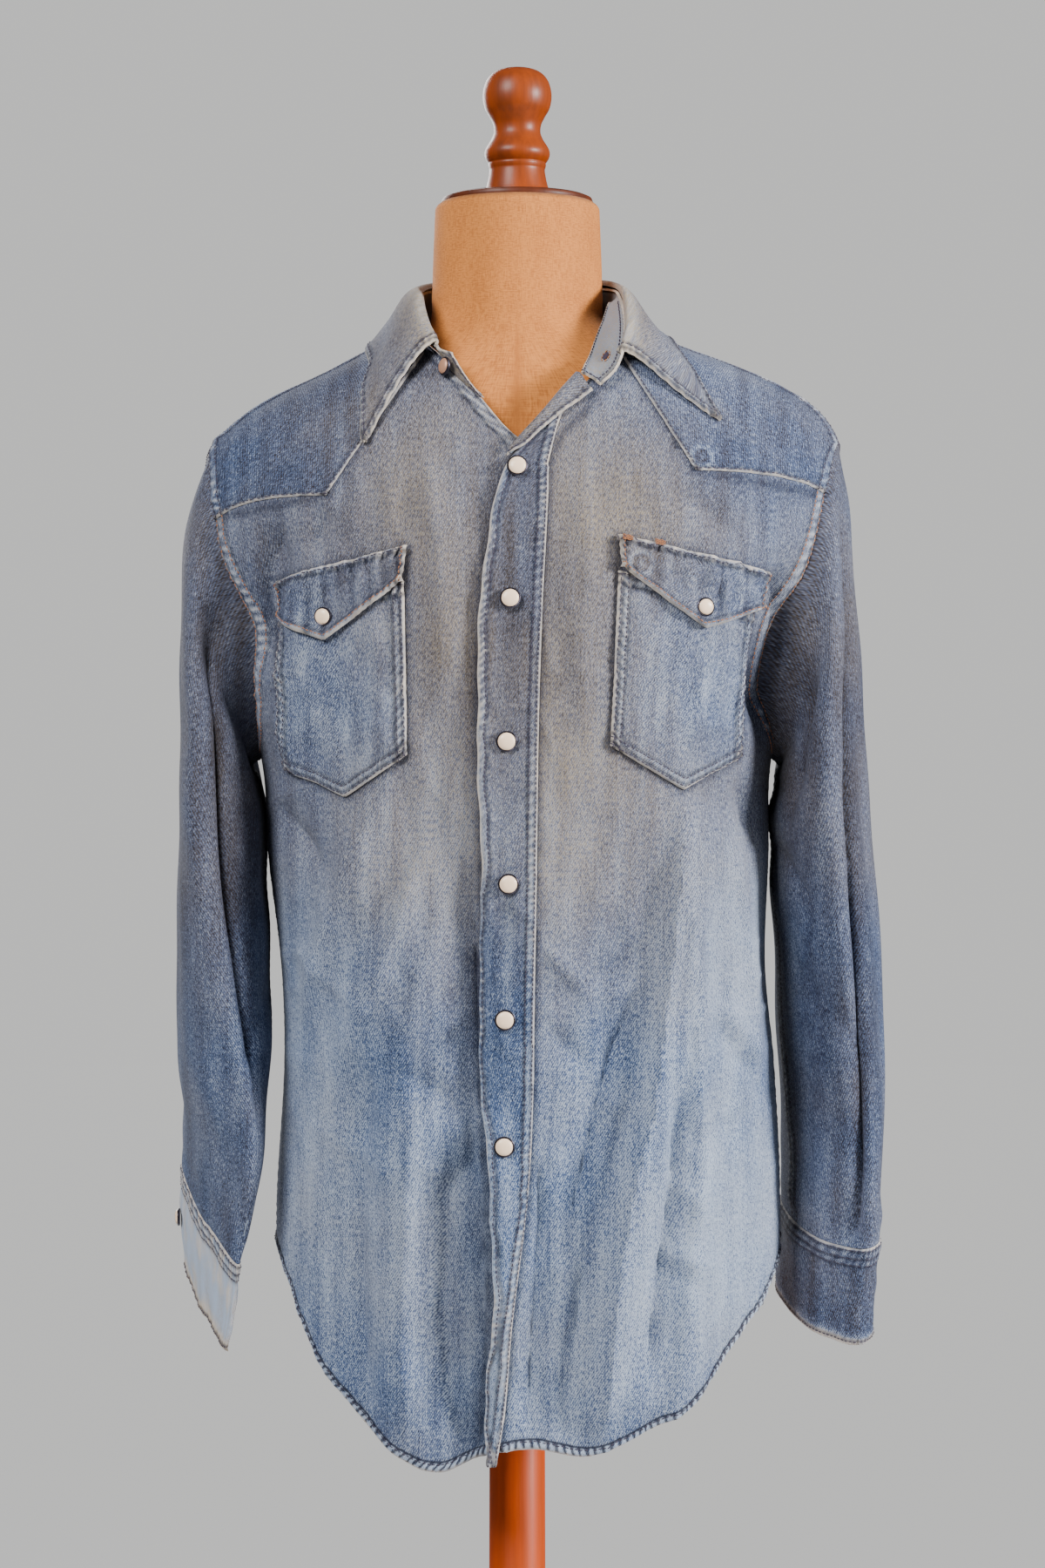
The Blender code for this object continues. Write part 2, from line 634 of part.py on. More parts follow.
def add_snap(name, centre, normal, radius=SNAP_RADIUS, height=0.0026):
    """Capped snap: a low domed disc that stands off along the normal."""
    bm = bmesh.new()
    bmesh.ops.create_cone(bm, cap_ends=True, segments=14, radius1=radius, radius2=radius * 0.72, depth=height)
    turn = normal.to_track_quat("Z", "Y").to_matrix().to_4x4()
    shift = Matrix.Translation(centre + normal * (height / 2))
    bmesh.ops.transform(bm, matrix=shift @ turn, verts=bm.verts)
    add_object(name, bm, PEARL)


def front_normal(x, z):
    return (on_front(x, z, 0.01) - on_front(x, z)).normalized()


def add_snaps():
    on_placket = WALL + LIE_GAP + 0.0004 + 0.0011 + 0.0006
    for index, (x, z) in enumerate(SNAPS, 1):
        add_snap(f"snap_{index}", on_front(x, z, on_placket), front_normal(x, z))
    on_flap = 2 * (WALL + LIE_GAP) + 0.0002 + 0.0010 + 0.0006
    for side, (x, z) in FLAP_SNAPS.items():
        add_snap("flap_snap_" + side, on_front(x, z, on_flap), front_normal(x, z), 0.0055)
    for side, rows in (("right", RIGHT_CUFF), ("left", LEFT_CUFF)):
        sign = 1 if side == "left" else -1
        spot = ring_point(rows[1], CUFF_SNAP_TURN, sign)
        along = ring_point(rows[1], CUFF_SNAP_TURN + 4, sign) - ring_point(rows[1], CUFF_SNAP_TURN - 4, sign)
        out = Vector((along.y, -along.x, 0)).normalized() * sign
        add_snap("cuff_snap_" + side, spot + out * 0.0019, out, 0.0055)
    seam, fold, _ = collar_row(1 / 26)
    onward = collar_row(2 / 26)[0] - collar_row(0)[0]
    out = onward.cross(fold - seam).normalized()
    add_snap("collar_button", seam.lerp(fold, 0.5) + out * 0.0034, out, 0.0050, 0.0022)


for leftover in list(bpy.data.objects):
    bpy.data.objects.remove(leftover)
PARTS = collection(OBJECT_NAME)
DENIM = material("denim", (0.20, 0.28, 0.42), 0.85)
LINEN = material("linen", (0.55, 0.40, 0.27), 0.80)
DARK_WOOD = material("varnished_wood", (0.24, 0.09, 0.04), 0.35)
OAK = material("pole_wood", (0.42, 0.20, 0.09), 0.40)
PEARL = material("pearl", (0.85, 0.76, 0.68), 0.25)

add_form()
add_stand()
add_front("right")
add_front("left")
add_back()
add_back_yoke()
add_front_yoke("right")
add_front_yoke("left")
add_placket()
add_pocket("right", POCKET_RIGHT)
add_pocket("left", POCKET_LEFT)
add_flap("right", FLAP_RIGHT)
add_flap("left", FLAP_LEFT)
add_collar()
add_sleeve("right", RIGHT_SLEEVE, RIGHT_CUFF)
add_sleeve("left", LEFT_SLEEVE, LEFT_CUFF)
add_snaps()
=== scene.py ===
"""Looks of a faded denim western shirt on a linen dress form with a turned wooden stand.

Everything is in metres: +Z up, the shirt's front faces -Y and the wearer's left is +X. The cloth is made
panel by panel on one torso surface that is worked out from a table of level sections.
"""
import math

import bmesh
import bpy
import numpy as np
from mathutils import Matrix, Vector


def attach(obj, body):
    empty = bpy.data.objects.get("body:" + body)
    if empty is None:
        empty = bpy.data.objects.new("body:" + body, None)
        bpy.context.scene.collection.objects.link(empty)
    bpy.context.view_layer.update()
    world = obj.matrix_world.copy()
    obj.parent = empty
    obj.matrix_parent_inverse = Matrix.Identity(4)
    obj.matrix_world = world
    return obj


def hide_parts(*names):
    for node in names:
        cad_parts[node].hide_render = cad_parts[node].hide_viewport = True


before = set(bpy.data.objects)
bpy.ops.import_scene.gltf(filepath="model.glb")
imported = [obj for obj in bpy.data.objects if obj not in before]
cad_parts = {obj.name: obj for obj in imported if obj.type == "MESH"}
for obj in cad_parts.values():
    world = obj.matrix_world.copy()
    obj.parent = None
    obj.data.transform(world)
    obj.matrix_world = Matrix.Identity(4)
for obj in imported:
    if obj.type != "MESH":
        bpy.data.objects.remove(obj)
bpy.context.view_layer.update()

bl_info = {
    "name": "Denim Shirt on Dress Form",
    "version": (1, 0, 0),
    "blender": (4, 5, 0),
    "location": "View3D > Sidebar > Shirt",
    "description": "Builds a faded denim western shirt on a linen dress form",
    "category": "Object",
}

# ------------------------------------------------------------------ cut and drape of the shirt
# levels in metres, and angles round the torso in degrees from the middle front
NECK_Z = 1.428
SHOULDER_Z = 1.343
ARMPIT_Z = 1.120
ARMHOLE_FRONT = 27.0
ARMHOLE_BACK = 22.0
SHOULDER_SEAM = 76.0
TAIL_Z = 0.800
BACK_YOKE_Z = 1.285
BACK_YOKE_POINT = 0.035
BACK_PER_DEGREE = 0.0026  # metres across the back
LAYER = 0.0014  # one layer of cloth
GLOW = 0.85  # strength of the plain backdrop
MERGE = 0.00001  # points nearer than this become one
ARMHOLE_MIDDLE = (SHOULDER_Z + ARMPIT_Z) / 2
ARMHOLE_HALF = (SHOULDER_Z - ARMPIT_Z) / 2
SIDE_SIGN = {"right": -1, "left": 1}
NECK_COLUMN = {"right": 1, "left": 2}

# depth from the collar band's outer face to the stitches on its inner face, the share of the way round from
# which its inner face is open to view, and the rows of stitching below its upper edge
BAND_THROUGH = 0.0024
BAND_OPEN = 0.80
BAND_TOP_ROWS = (0.0030, 0.0060)

# rows of stitching, by their distance from the edge or the seam
EDGE_ROW = 0.0024
HEM_ROW = 0.0065
FELLED_ROWS = (0.0022, 0.0080)
ARMHOLE_ROWS = (0.0024, 0.0112)
CUFF_ROWS = (0.0024, 0.0082, 0.0130)

# metres round a sleeve and a cuff, the turns of the sleeve's seam and the cuff's lap in degrees, and the
# columns of points round a sleeve
SLEEVE_GIRTH = 0.46
SLEEVE_SEAM = 268
SLEEVE_COLUMNS = 150
CUFF_GIRTH = 0.25
CUFF_LAP = 174

TORSO = [
    # z, half width right, left, depth front, back, squareness
    (1.450, 0.0640, 0.0640, 0.064, 0.062, 2.0),
    (1.428, 0.0760, 0.0800, 0.074, 0.072, 2.0),
    (1.410, 0.1020, 0.1160, 0.084, 0.082, 2.1),
    (1.390, 0.1390, 0.1700, 0.093, 0.094, 2.2),
    (1.370, 0.1810, 0.2090, 0.100, 0.104, 2.3),
    (1.350, 0.2090, 0.2270, 0.106, 0.111, 2.4),
    (1.330, 0.2250, 0.2310, 0.111, 0.116, 2.4),
    (1.290, 0.2290, 0.2290, 0.119, 0.122, 2.4),
    (1.250, 0.2240, 0.2220, 0.126, 0.126, 2.4),
    (1.210, 0.2080, 0.2080, 0.130, 0.127, 2.4),
    (1.160, 0.1930, 0.1900, 0.131, 0.126, 2.4),
    (1.110, 0.1810, 0.1800, 0.131, 0.123, 2.4),
    (1.050, 0.1775, 0.1790, 0.129, 0.119, 2.4),
    (0.970, 0.1680, 0.1765, 0.126, 0.114, 2.4),
    (0.900, 0.1660, 0.1830, 0.124, 0.114, 2.3),
    (0.800, 0.1715, 0.1875, 0.122, 0.118, 2.2),
    (0.700, 0.1700, 0.1840, 0.118, 0.118, 2.2),
    (0.600, 0.1650, 0.1780, 0.114, 0.116, 2.2),
]
FORM = [
    # z, half width right, left, depth front, back, squareness
    (1.5160, 0.0588, 0.0588, 0.0600, 0.0600, 2.0),
    (1.4700, 0.0606, 0.0606, 0.0610, 0.0600, 2.0),
    (1.4500, 0.0612, 0.0612, 0.0630, 0.0600, 2.0),
    (1.4280, 0.0640, 0.0650, 0.0655, 0.0630, 2.0),
    (1.4100, 0.0850, 0.0950, 0.0700, 0.0700, 2.0),
    (1.3900, 0.1260, 0.1480, 0.0790, 0.0830, 2.1),
    (1.3700, 0.1650, 0.1830, 0.0860, 0.0940, 2.2),
    (1.3500, 0.1880, 0.1960, 0.0930, 0.1020, 2.2),
    (1.3200, 0.1960, 0.1980, 0.1000, 0.1060, 2.2),
    (1.2600, 0.1900, 0.1900, 0.1080, 0.1080, 2.2),
    (1.2000, 0.1780, 0.1780, 0.1120, 0.1080, 2.2),
    (1.1200, 0.1640, 0.1640, 0.1110, 0.1020, 2.2),
    (1.0000, 0.1470, 0.1490, 0.1020, 0.0930, 2.2),
    (0.9200, 0.1460, 0.1500, 0.0990, 0.0960, 2.2),
    (0.8500, 0.1490, 0.1540, 0.0980, 0.1000, 2.2),
    (0.8000, 0.1460, 0.1520, 0.0960, 0.0980, 2.2),
]
# radius and rise of the neck cap above the form's top, and of the finial above its own foot
CAP = [(0.0, 0.0003), (0.0540, 0.0003), (0.0543, 0.0014), (0.0535, 0.0034), (0.0500, 0.0048), (0.0, 0.0053)]
FINIAL = [
    (0.0228, 0.0000), (0.0232, 0.0014), (0.0231, 0.0034), (0.0224, 0.0056), (0.0213, 0.0098), (0.0203, 0.0146),
    (0.0198, 0.0186), (0.0203, 0.0206), (0.0206, 0.0222), (0.0205, 0.0236), (0.0216, 0.0252), (0.0229, 0.0276),
    (0.0234, 0.0304), (0.0228, 0.0334), (0.0209, 0.0368), (0.0184, 0.0408), (0.0167, 0.0456), (0.0172, 0.0514),
    (0.0200, 0.0572), (0.0232, 0.0630), (0.0246, 0.0700), (0.0241, 0.0768), (0.0216, 0.0836), (0.0166, 0.0886),
    (0.0090, 0.0914),
]
FINIAL_TOP = 1.6137
# radius and height of the pole and the base
POLE = [(0.0, 0.7997), (0.0190, 0.7997), (0.0195, 0.7990), (0.0212, 0.0623), (0.0, 0.0623)]
BASE = [
    (0.0000, 0.0000), (0.2000, 0.0000), (0.2040, 0.0016), (0.2050, 0.0050), (0.2050, 0.0150), (0.2030, 0.0195),
    (0.1960, 0.0240), (0.1880, 0.0256), (0.1700, 0.0280), (0.1200, 0.0310), (0.0750, 0.0340), (0.0560, 0.0375),
    (0.0460, 0.0430), (0.0415, 0.0500), (0.0400, 0.0560), (0.0375, 0.0600), (0.0340, 0.0620), (0.0000, 0.0620),
]
NECK_EDGE = [
    # z, inner edge x of the right front, of the left front
    (1.428, -0.0740, 0.0780),
    (1.410, -0.0640, 0.0700),
    (1.390, -0.0440, 0.0560),
    (1.370, -0.0270, 0.0410),
    (1.350, -0.0110, 0.0220),
    (1.334, 0.0040, 0.0090),
    (1.310, 0.0080, 0.0120),
    (0.930, 0.0060, 0.0100),
    (0.815, -0.0005, 0.0040),
    (0.730, -0.0090, -0.0050),
    (0.670, -0.0145, -0.0105),
    (0.600, -0.0190, -0.0150),
]
FRONT_HEM = [
    # x, z of the fronts' shirt-tail hem
    (-0.190, 0.795), (-0.172, 0.775), (-0.152, 0.722), (-0.137, 0.690), (-0.107, 0.656), (-0.087, 0.636),
    (-0.056, 0.626), (-0.030, 0.636), (0.010, 0.643), (0.049, 0.637), (0.073, 0.644), (0.100, 0.658),
    (0.119, 0.668), (0.136, 0.690), (0.157, 0.716), (0.173, 0.734), (0.186, 0.762), (0.200, 0.790),
]
PLACKET = [
    # z, right edge x, left edge x
    (1.378, 0.0400, 0.0560), (1.360, 0.0270, 0.0500), (1.340, 0.0080, 0.0300), (1.320, -0.0060, 0.0225),
    (1.300, -0.0140, 0.0215), (1.270, -0.0200, 0.0200), (1.223, -0.0250, 0.0175), (1.150, -0.0270, 0.0150),
    (1.024, -0.0245, 0.0133), (0.950, -0.0262, 0.0120), (0.880, -0.0240, 0.0110), (0.815, -0.0185, 0.0075),
    (0.730, -0.0170, -0.0030), (0.670, -0.0225, -0.0080), (0.632, -0.0215, -0.0140),
]
SNAPS = [(0.0002, 1.317), (-0.0046, 1.226), (-0.0070, 1.129), (-0.0058, 1.032), (-0.0081, 0.939),
         (-0.0087, 0.852)]
FLAP_SNAPS = {"right": (-0.1306, 1.2153), "left": (0.1265, 1.2216)}
COLLAR = [
    # seam angle, level, fold x, y, z, leaf angle, level, leaf lift
    (-7.2, 1.3730, -0.0570, -0.0900, 1.4035, -23.6, 1.3300, 0.0060),
    (-18.4, 1.3930, -0.0640, -0.0740, 1.4200, -29.8, 1.3610, 0.0060),
    (-50.0, 1.4190, -0.0695, -0.0400, 1.4420, -47.6, 1.3920, 0.0060),
    (-90.0, 1.4310, -0.0715, 0.0000, 1.4520, -90.0, 1.4100, 0.0040),
    (-135.0, 1.4310, -0.0510, 0.0500, 1.4620, -135.0, 1.4110, 0.0060),
    (-180.0, 1.4310, 0.0000, 0.0700, 1.4640, -180.0, 1.4110, 0.0060),
    (-225.0, 1.4310, 0.0500, 0.0500, 1.4630, -225.0, 1.4120, 0.0060),
    (-270.0, 1.4310, 0.0700, 0.0000, 1.4550, -270.0, 1.4140, 0.0040),
    (-308.0, 1.4190, 0.0765, -0.0440, 1.4420, -309.0, 1.4000, 0.0050),
    (-340.3, 1.3950, 0.0775, -0.0800, 1.4160, -323.4, 1.3750, 0.0060),
    (-347.8, 1.3800, 0.0740, -0.0940, 1.3960, -325.6, 1.3470, 0.0060),
]
BAND_LEFT = [
    # the band's open left end: share of the way round, seam x, y, z, top x, y, z
    (0.580, 0.0420, 0.0520, 1.4320, 0.0440, 0.0550, 1.4630),
    (0.700, 0.0665, 0.0020, 1.4400, 0.0690, 0.0000, 1.4550),
    (0.780, 0.0645, -0.0260, 1.4400, 0.0735, -0.0360, 1.4450),
    (0.860, 0.0600, -0.0480, 1.4260, 0.0755, -0.0620, 1.4320),
    (0.920, 0.0545, -0.0650, 1.4110, 0.0760, -0.0820, 1.4170),
    (0.960, 0.0500, -0.0800, 1.3980, 0.0745, -0.0930, 1.4000),
    (0.985, 0.0458, -0.0935, 1.3890, 0.0685, -0.1010, 1.3855),
    (1.000, 0.0440, -0.0985, 1.3840, 0.0575, -0.1035, 1.3745),
]
BAND_RIGHT = [
    # the buttoned right end, in the same way
    (0.000, -0.0235, -0.1015, 1.3665, -0.0450, -0.0945, 1.3990),
    (0.030, -0.0330, -0.0985, 1.3740, -0.0545, -0.0900, 1.4030),
    (0.100, -0.0600, -0.0860, 1.3930, -0.0625, -0.0740, 1.4210),
]
TURNED_EDGE = [
    # the placket's turned-back top: share of its length, rolled edge x, z, free edge x, z
    (0.00, -0.0045, 1.3310, -0.0065, 1.3245),
    (0.20, 0.0055, 1.3425, 0.0060, 1.3330),
    (0.50, 0.0195, 1.3585, 0.0235, 1.3485),
    (0.75, 0.0305, 1.3720, 0.0375, 1.3595),
    (1.00, 0.0410, 1.3840, 0.0520, 1.3700),
]
PLACKET_TOP = [(1.318, 0.0210), (1.340, 0.0262), (1.349, 0.0288), (1.360, 0.0330), (1.378, 0.0450)]
# sleeve and cuff rings: outer x, z, inner x, z, front y, back y, drop of the front, turn of the front
SLEEVES = {
    "right": [
        (0.2360, 1.2850, 0.1905, 1.1120, -0.0800, 0.0840, 0.000, 0.0),
        (0.2400, 1.2000, 0.1835, 1.0950, -0.0900, 0.0900, 0.000, 0.0),
        (0.2420, 1.1200, 0.1815, 1.0650, -0.0920, 0.0900, 0.000, 0.0),
        (0.2430, 1.0500, 0.1805, 1.0200, -0.0900, 0.0860, 0.004, -4.0),
        (0.2465, 0.9700, 0.1770, 0.9600, -0.0840, 0.0800, 0.008, -16.0),
        (0.2460, 0.9000, 0.1760, 0.8950, -0.0780, 0.0720, 0.014, -36.0),
        (0.2445, 0.8420, 0.1810, 0.8380, -0.0720, 0.0640, 0.021, -58.0),
        (0.2450, 0.7960, 0.1950, 0.7920, -0.0640, 0.0560, 0.028, -75.0),
    ],
    "left": [
        (0.2372, 1.2950, 0.1890, 1.1120, -0.0800, 0.0860, 0.000, 0.0),
        (0.2438, 1.2050, 0.1845, 1.0950, -0.0880, 0.0920, 0.000, 0.0),
        (0.2490, 1.1250, 0.1825, 1.0650, -0.0880, 0.0920, 0.000, 0.0),
        (0.2545, 1.0500, 0.1845, 1.0200, -0.0820, 0.0900, 0.002, 6.0),
        (0.2590, 0.9600, 0.1885, 0.9450, -0.0760, 0.0880, 0.006, 16.0),
        (0.2600, 0.8800, 0.1920, 0.8700, -0.0700, 0.0820, 0.010, 26.0),
        (0.2580, 0.8200, 0.1935, 0.8150, -0.0620, 0.0760, 0.014, 34.0),
        (0.2560, 0.7920, 0.1935, 0.7860, -0.0560, 0.0730, 0.017, 38.0),
    ],
}
CUFFS = {
    "right": [
        (0.2450, 0.7956, 0.1950, 0.7916, -0.0640, 0.0560, 0.028, -75.0),
        (0.2450, 0.7600, 0.1985, 0.7588, -0.0600, 0.0520, 0.025, -77.0),
        (0.2415, 0.7265, 0.2045, 0.7245, -0.0570, 0.0500, 0.0225, -78.0),
    ],
    "left": [
        (0.2560, 0.7916, 0.1935, 0.7856, -0.0560, 0.0730, 0.017, 38.0),
        (0.2530, 0.7560, 0.1915, 0.7520, -0.0530, 0.0700, 0.018, 38.0),
        (0.2510, 0.7240, 0.1890, 0.7220, -0.0500, 0.0680, 0.019, 38.0),
    ],
}
POCKETS = {
    "right": [(-0.1690, 1.2160), (-0.0765, 1.2380), (-0.0745, 1.1200), (-0.1165, 1.0910), (-0.1585, 1.1105)],
    "left": [(0.0690, 1.2460), (0.1645, 1.2200), (0.1535, 1.1185), (0.1128, 1.0960), (0.0635, 1.1262)],
}
FLAPS = {
    "right": [(-0.1745, 1.2400), (-0.0740, 1.2620), (-0.0770, 1.2380), (-0.1300, 1.1990), (-0.1710, 1.2150)],
    "left": [(0.0690, 1.2700), (0.1740, 1.2470), (0.1685, 1.2215), (0.1262, 1.2070), (0.0705, 1.2480)],
}
SIDE_LAP = 1.0  # degrees that a front reaches past the side seam
NECKLINE_Z = 1.360
# faint round marks that snaps have left: x, z, radius
RING_MARKS = [(0.0850, 1.2511, 0.0078), (0.1277, 1.3263, 0.0070)]
BAR_TACKS = [(0.0742, 1.2680), (0.0960, 1.2652)]
YOKE_CORNER = {"right": (-0.1315, 1.299), "left": (0.1227, 1.316)}
YOKE_INNER_TOP = {"right": (-0.0960, 1.352), "left": (0.0800, 1.385)}
YOKE_END_Z = {"right": 1.284, "left": 1.303}

# upright creases of the fronts: how far they reach to the wearer's right and left, their height (troughs
# are negative), and their line as level and x from bottom to top
UPRIGHT_FOLDS = [
    # reach right, left, height, line of z, x
    (0.008, 0.024, 0.0062, [(0.640, 0.0565), (0.730, 0.0652), (0.804, 0.0730), (0.878, 0.0891), (0.973, 0.0993),
                            (1.031, 0.1046), (1.092, 0.1130)]),
    (0.004, 0.008, 0.0022, [(0.940, 0.1110), (1.000, 0.1124), (1.045, 0.1110)]),
    (0.012, 0.007, -0.0038, [(0.770, 0.0320), (0.826, 0.0443), (0.905, 0.0623), (0.960, 0.0820)]),
    (0.020, 0.006, -0.0022, [(0.780, 0.0560), (0.840, 0.0680), (0.900, 0.0830), (0.960, 0.0920)]),
    (0.005, 0.010, 0.0026, [(0.830, 0.1300), (0.880, 0.1220), (0.930, 0.1180), (0.980, 0.1210)]),
    (0.010, 0.006, -0.0026, [(0.640, 0.0300), (0.700, 0.0380), (0.760, 0.0460), (0.800, 0.0500)]),
    (0.010, 0.022, 0.0040, [(0.640, 0.1020), (0.720, 0.1130), (0.800, 0.1200), (0.860, 0.1300)]),
    (0.010, 0.012, -0.0040, [(0.680, 0.0860), (0.760, 0.0960), (0.830, 0.1060), (0.900, 0.1100)]),
    (0.034, 0.007, -0.0120, [(0.630, -0.0260), (0.720, -0.0270), (0.800, -0.0290), (0.860, -0.0290)]),
    (0.022, 0.006, -0.0050, [(0.840, -0.0290), (0.920, -0.0270), (1.000, -0.0270), (1.050, -0.0260)]),
    (0.018, 0.016, 0.0040, [(0.640, -0.0760), (0.720, -0.0780), (0.820, -0.0740), (0.880, -0.0700)]),
    (0.020, 0.012, -0.0045, [(0.650, -0.1020), (0.740, -0.1120), (0.840, -0.1100), (0.920, -0.1000)]),
    (0.008, 0.014, -0.0040, [(0.640, 0.0060), (0.720, 0.0100), (0.800, 0.0140), (0.850, 0.0160)]),
    (0.012, 0.010, -0.0110, [(1.180, -0.1760), (1.230, -0.1740), (1.290, -0.1640)]),
    (0.010, 0.012, -0.0100, [(1.130, 0.1700), (1.190, 0.1770), (1.260, 0.1860)]),
    (0.014, 0.020, 0.0026, [(1.150, -0.0500), (1.230, -0.0520), (1.330, -0.0600)]),
    (0.022, 0.012, 0.0026, [(1.130, 0.0440), (1.220, 0.0480), (1.310, 0.0500)]),
    (0.010, 0.016, 0.0030, [(0.930, -0.1500), (1.010, -0.1250), (1.090, -0.0950)]),
    (0.010, 0.018, 0.0028, [(0.900, -0.1250), (0.960, -0.0980), (1.060, -0.0620)]),
    (0.014, 0.010, 0.0030, [(0.860, 0.1560), (0.950, 0.1590), (1.030, 0.1500), (1.080, 0.1400)]),
]
# slanting creases of the fronts: a line from one end to the other, its width, how far it is sunk (ridges are
# negative), and how far its middle bows
FRONT_FOLDS = [
    # x, z, x, z, width, depth, bow
    (0.0200, 0.988, 0.0500, 0.955, 0.014, -0.0026, 0.000),
    (0.0300, 0.950, 0.0800, 0.985, 0.018, 0.0026, 0.000),
    (0.0200, 0.935, 0.0460, 0.905, 0.018, 0.0022, 0.000),
    (0.1010, 0.830, 0.1240, 0.800, 0.009, -0.0012, 0.004),
    (0.0960, 0.782, 0.1300, 0.768, 0.010, -0.0013, -0.003),
    (0.1000, 0.770, 0.1250, 0.748, 0.010, 0.0009, 0.000),
    (0.1350, 0.950, 0.1620, 0.910, 0.014, -0.0024, 0.000),
    (0.1380, 0.930, 0.1700, 0.880, 0.014, 0.0022, 0.000),
    (-0.1500, 0.985, -0.1050, 0.945, 0.016, -0.0022, 0.000),
    (-0.0900, 0.905, -0.0400, 0.880, 0.020, 0.0020, 0.000),
    (-0.1400, 0.860, -0.0900, 0.830, 0.020, -0.0020, 0.000),
    (-0.0500, 1.010, -0.0760, 0.930, 0.020, -0.0024, 0.000),
    (-0.1300, 1.285, -0.1450, 1.262, 0.018, 0.0030, 0.000),
    (-0.1650, 1.080, -0.1350, 1.040, 0.018, 0.0036, 0.000),
    (0.1560, 1.100, 0.1660, 1.060, 0.018, 0.0034, 0.000),
    (0.1100, 1.300, 0.1500, 1.275, 0.018, 0.0020, 0.000),
    (-0.1650, 1.150, -0.1450, 1.100, 0.016, -0.0022, 0.000),
]
BACK_FOLDS = [
    # across (metres round the back, + to the wearer's left), z, across, z, width, depth, bow
    (-0.120, 1.250, -0.050, 0.980, 0.060, 0.0050, 0.010),
    (0.115, 1.240, 0.060, 1.000, 0.055, 0.0048, -0.010),
    (0.020, 1.150, 0.010, 0.700, 0.060, -0.0045, 0.006),
    (-0.080, 1.000, -0.100, 0.680, 0.050, 0.0055, 0.004),
    (0.090, 0.980, 0.110, 0.700, 0.046, 0.0052, -0.006),
    (-0.180, 1.120, -0.120, 1.060, 0.030, 0.0035, 0.000),
    (0.180, 1.110, 0.130, 1.040, 0.030, 0.0035, 0.000),
    (-0.030, 0.930, -0.040, 0.720, 0.040, 0.0030, 0.000),
    (0.150, 0.930, 0.170, 0.780, 0.034, 0.0035, 0.000),
    (-0.160, 0.920, -0.180, 0.790, 0.034, 0.0032, 0.000),
]
# creases of the sleeves: from one ring and turn to another, width in metres, sunk depth
SLEEVE_FOLDS = {
    "right": [
        # ring, turn, ring, turn, width, depth
        (0.3, -2.0, 5.2, -22.0, 0.026, 0.0150),
        (0.2, 26.0, 4.5, 14.0, 0.040, -0.0050),
        (0.6, -40.0, 4.0, -62.0, 0.040, -0.0040),
        (0.8, 60.0, 5.0, 78.0, 0.036, 0.0030),
        (4.6, -60.0, 5.4, 20.0, 0.020, 0.0030),
        (5.2, -40.0, 6.2, 40.0, 0.018, 0.0022),
        (6.4, -10.0, 7.8, 10.0, 0.024, 0.0025),
        (0.5, 150.0, 5.0, 165.0, 0.050, 0.0080),
        (3.6, 120.0, 4.6, 220.0, 0.022, 0.0040),
        (4.6, 140.0, 5.4, 215.0, 0.020, 0.0035),
        (1.2, 205.0, 4.0, 215.0, 0.050, -0.0040),
    ],
    "left": [
        (0.2, -20.0, 2.4, -48.0, 0.030, 0.0110),
        (0.4, 48.0, 4.2, 10.0, 0.022, 0.0130),
        (4.0, 12.0, 7.4, -24.0, 0.024, 0.0110),
        (0.3, 8.0, 4.2, -6.0, 0.034, -0.0050),
        (0.4, 50.0, 6.0, 46.0, 0.030, 0.0040),
        (2.8, -70.0, 3.8, -20.0, 0.022, 0.0050),
        (4.2, -50.0, 5.0, 10.0, 0.020, 0.0030),
        (5.6, 20.0, 6.8, 60.0, 0.022, 0.0022),
        (0.5, 150.0, 5.0, 160.0, 0.050, 0.0080),
        (3.6, 120.0, 4.6, 215.0, 0.022, 0.0040),
        (4.8, 140.0, 5.6, 210.0, 0.020, 0.0035),
    ],
}

SLEEVE_PAINTED_SHADOWS = {
    # painted shadow in bands that run down a sleeve, on its inner side by the body and in its valleys: turn,
    # width in degrees, low and high level, how dark, top turn
    "right": [(-62.0, 36.0, 0.84, 1.30, 0.95, -40.0), (10.0, 12.0, 1.02, 1.24, 0.40, 4.0)],
    "left": [(-46.0, 34.0, 0.84, 1.18, 0.95, -30.0), (22.0, 12.0, 0.86, 1.26, 0.70, 44.0),
             (80.0, 24.0, 0.84, 1.24, 0.40, 90.0)],
}

# soft spots of fading and of painted light and shade, where the paler spots on the sides (x -0.150 and 0.150)
# are painted light and the darker spots by the armpits (x -0.172 and 0.178) are painted shade: x, z, radius
# across, radius up, how much paler (or darker), how much more tan
FADE_AND_SHADE_SPOTS = [
    (0.000, 1.230, 0.120, 0.170, -0.08, 0.36),
    (-0.075, 1.300, 0.040, 0.050, 0.04, 0.40),
    (0.060, 1.300, 0.045, 0.060, 0.04, 0.30),
    (-0.050, 1.050, 0.070, 0.110, 0.14, 0.34),
    (0.050, 1.070, 0.070, 0.110, 0.14, 0.36),
    (0.150, 1.010, 0.050, 0.080, 0.20, 0.05),
    (-0.060, 0.905, 0.110, 0.045, -0.03, -0.12),
    (0.080, 0.890, 0.100, 0.050, 0.02, -0.08),
    (0.000, 0.760, 0.200, 0.150, 0.18, 0.06),
    (0.090, 0.740, 0.090, 0.090, 0.06, -0.05),
    (-0.150, 0.900, 0.050, 0.180, 0.20, 0.00),
    (0.150, 0.850, 0.060, 0.150, 0.22, 0.00),
    (-0.172, 1.120, 0.020, 0.070, -0.06, 0.00),
    (0.178, 1.110, 0.022, 0.070, -0.14, 0.00),
]


# ------------------------------------------------------------------ settings that a user would change
def length_property(name, description, value, low, high=100.0):
    return bpy.props.FloatProperty(
        name=name, description=description, default=value, min=low, max=high, precision=5,
        subtype="DISTANCE", unit="LENGTH")


def power_property(name, description, value):
    return bpy.props.FloatProperty(
        name=name, description=description, default=value, min=0.0, subtype="POWER", unit="POWER")


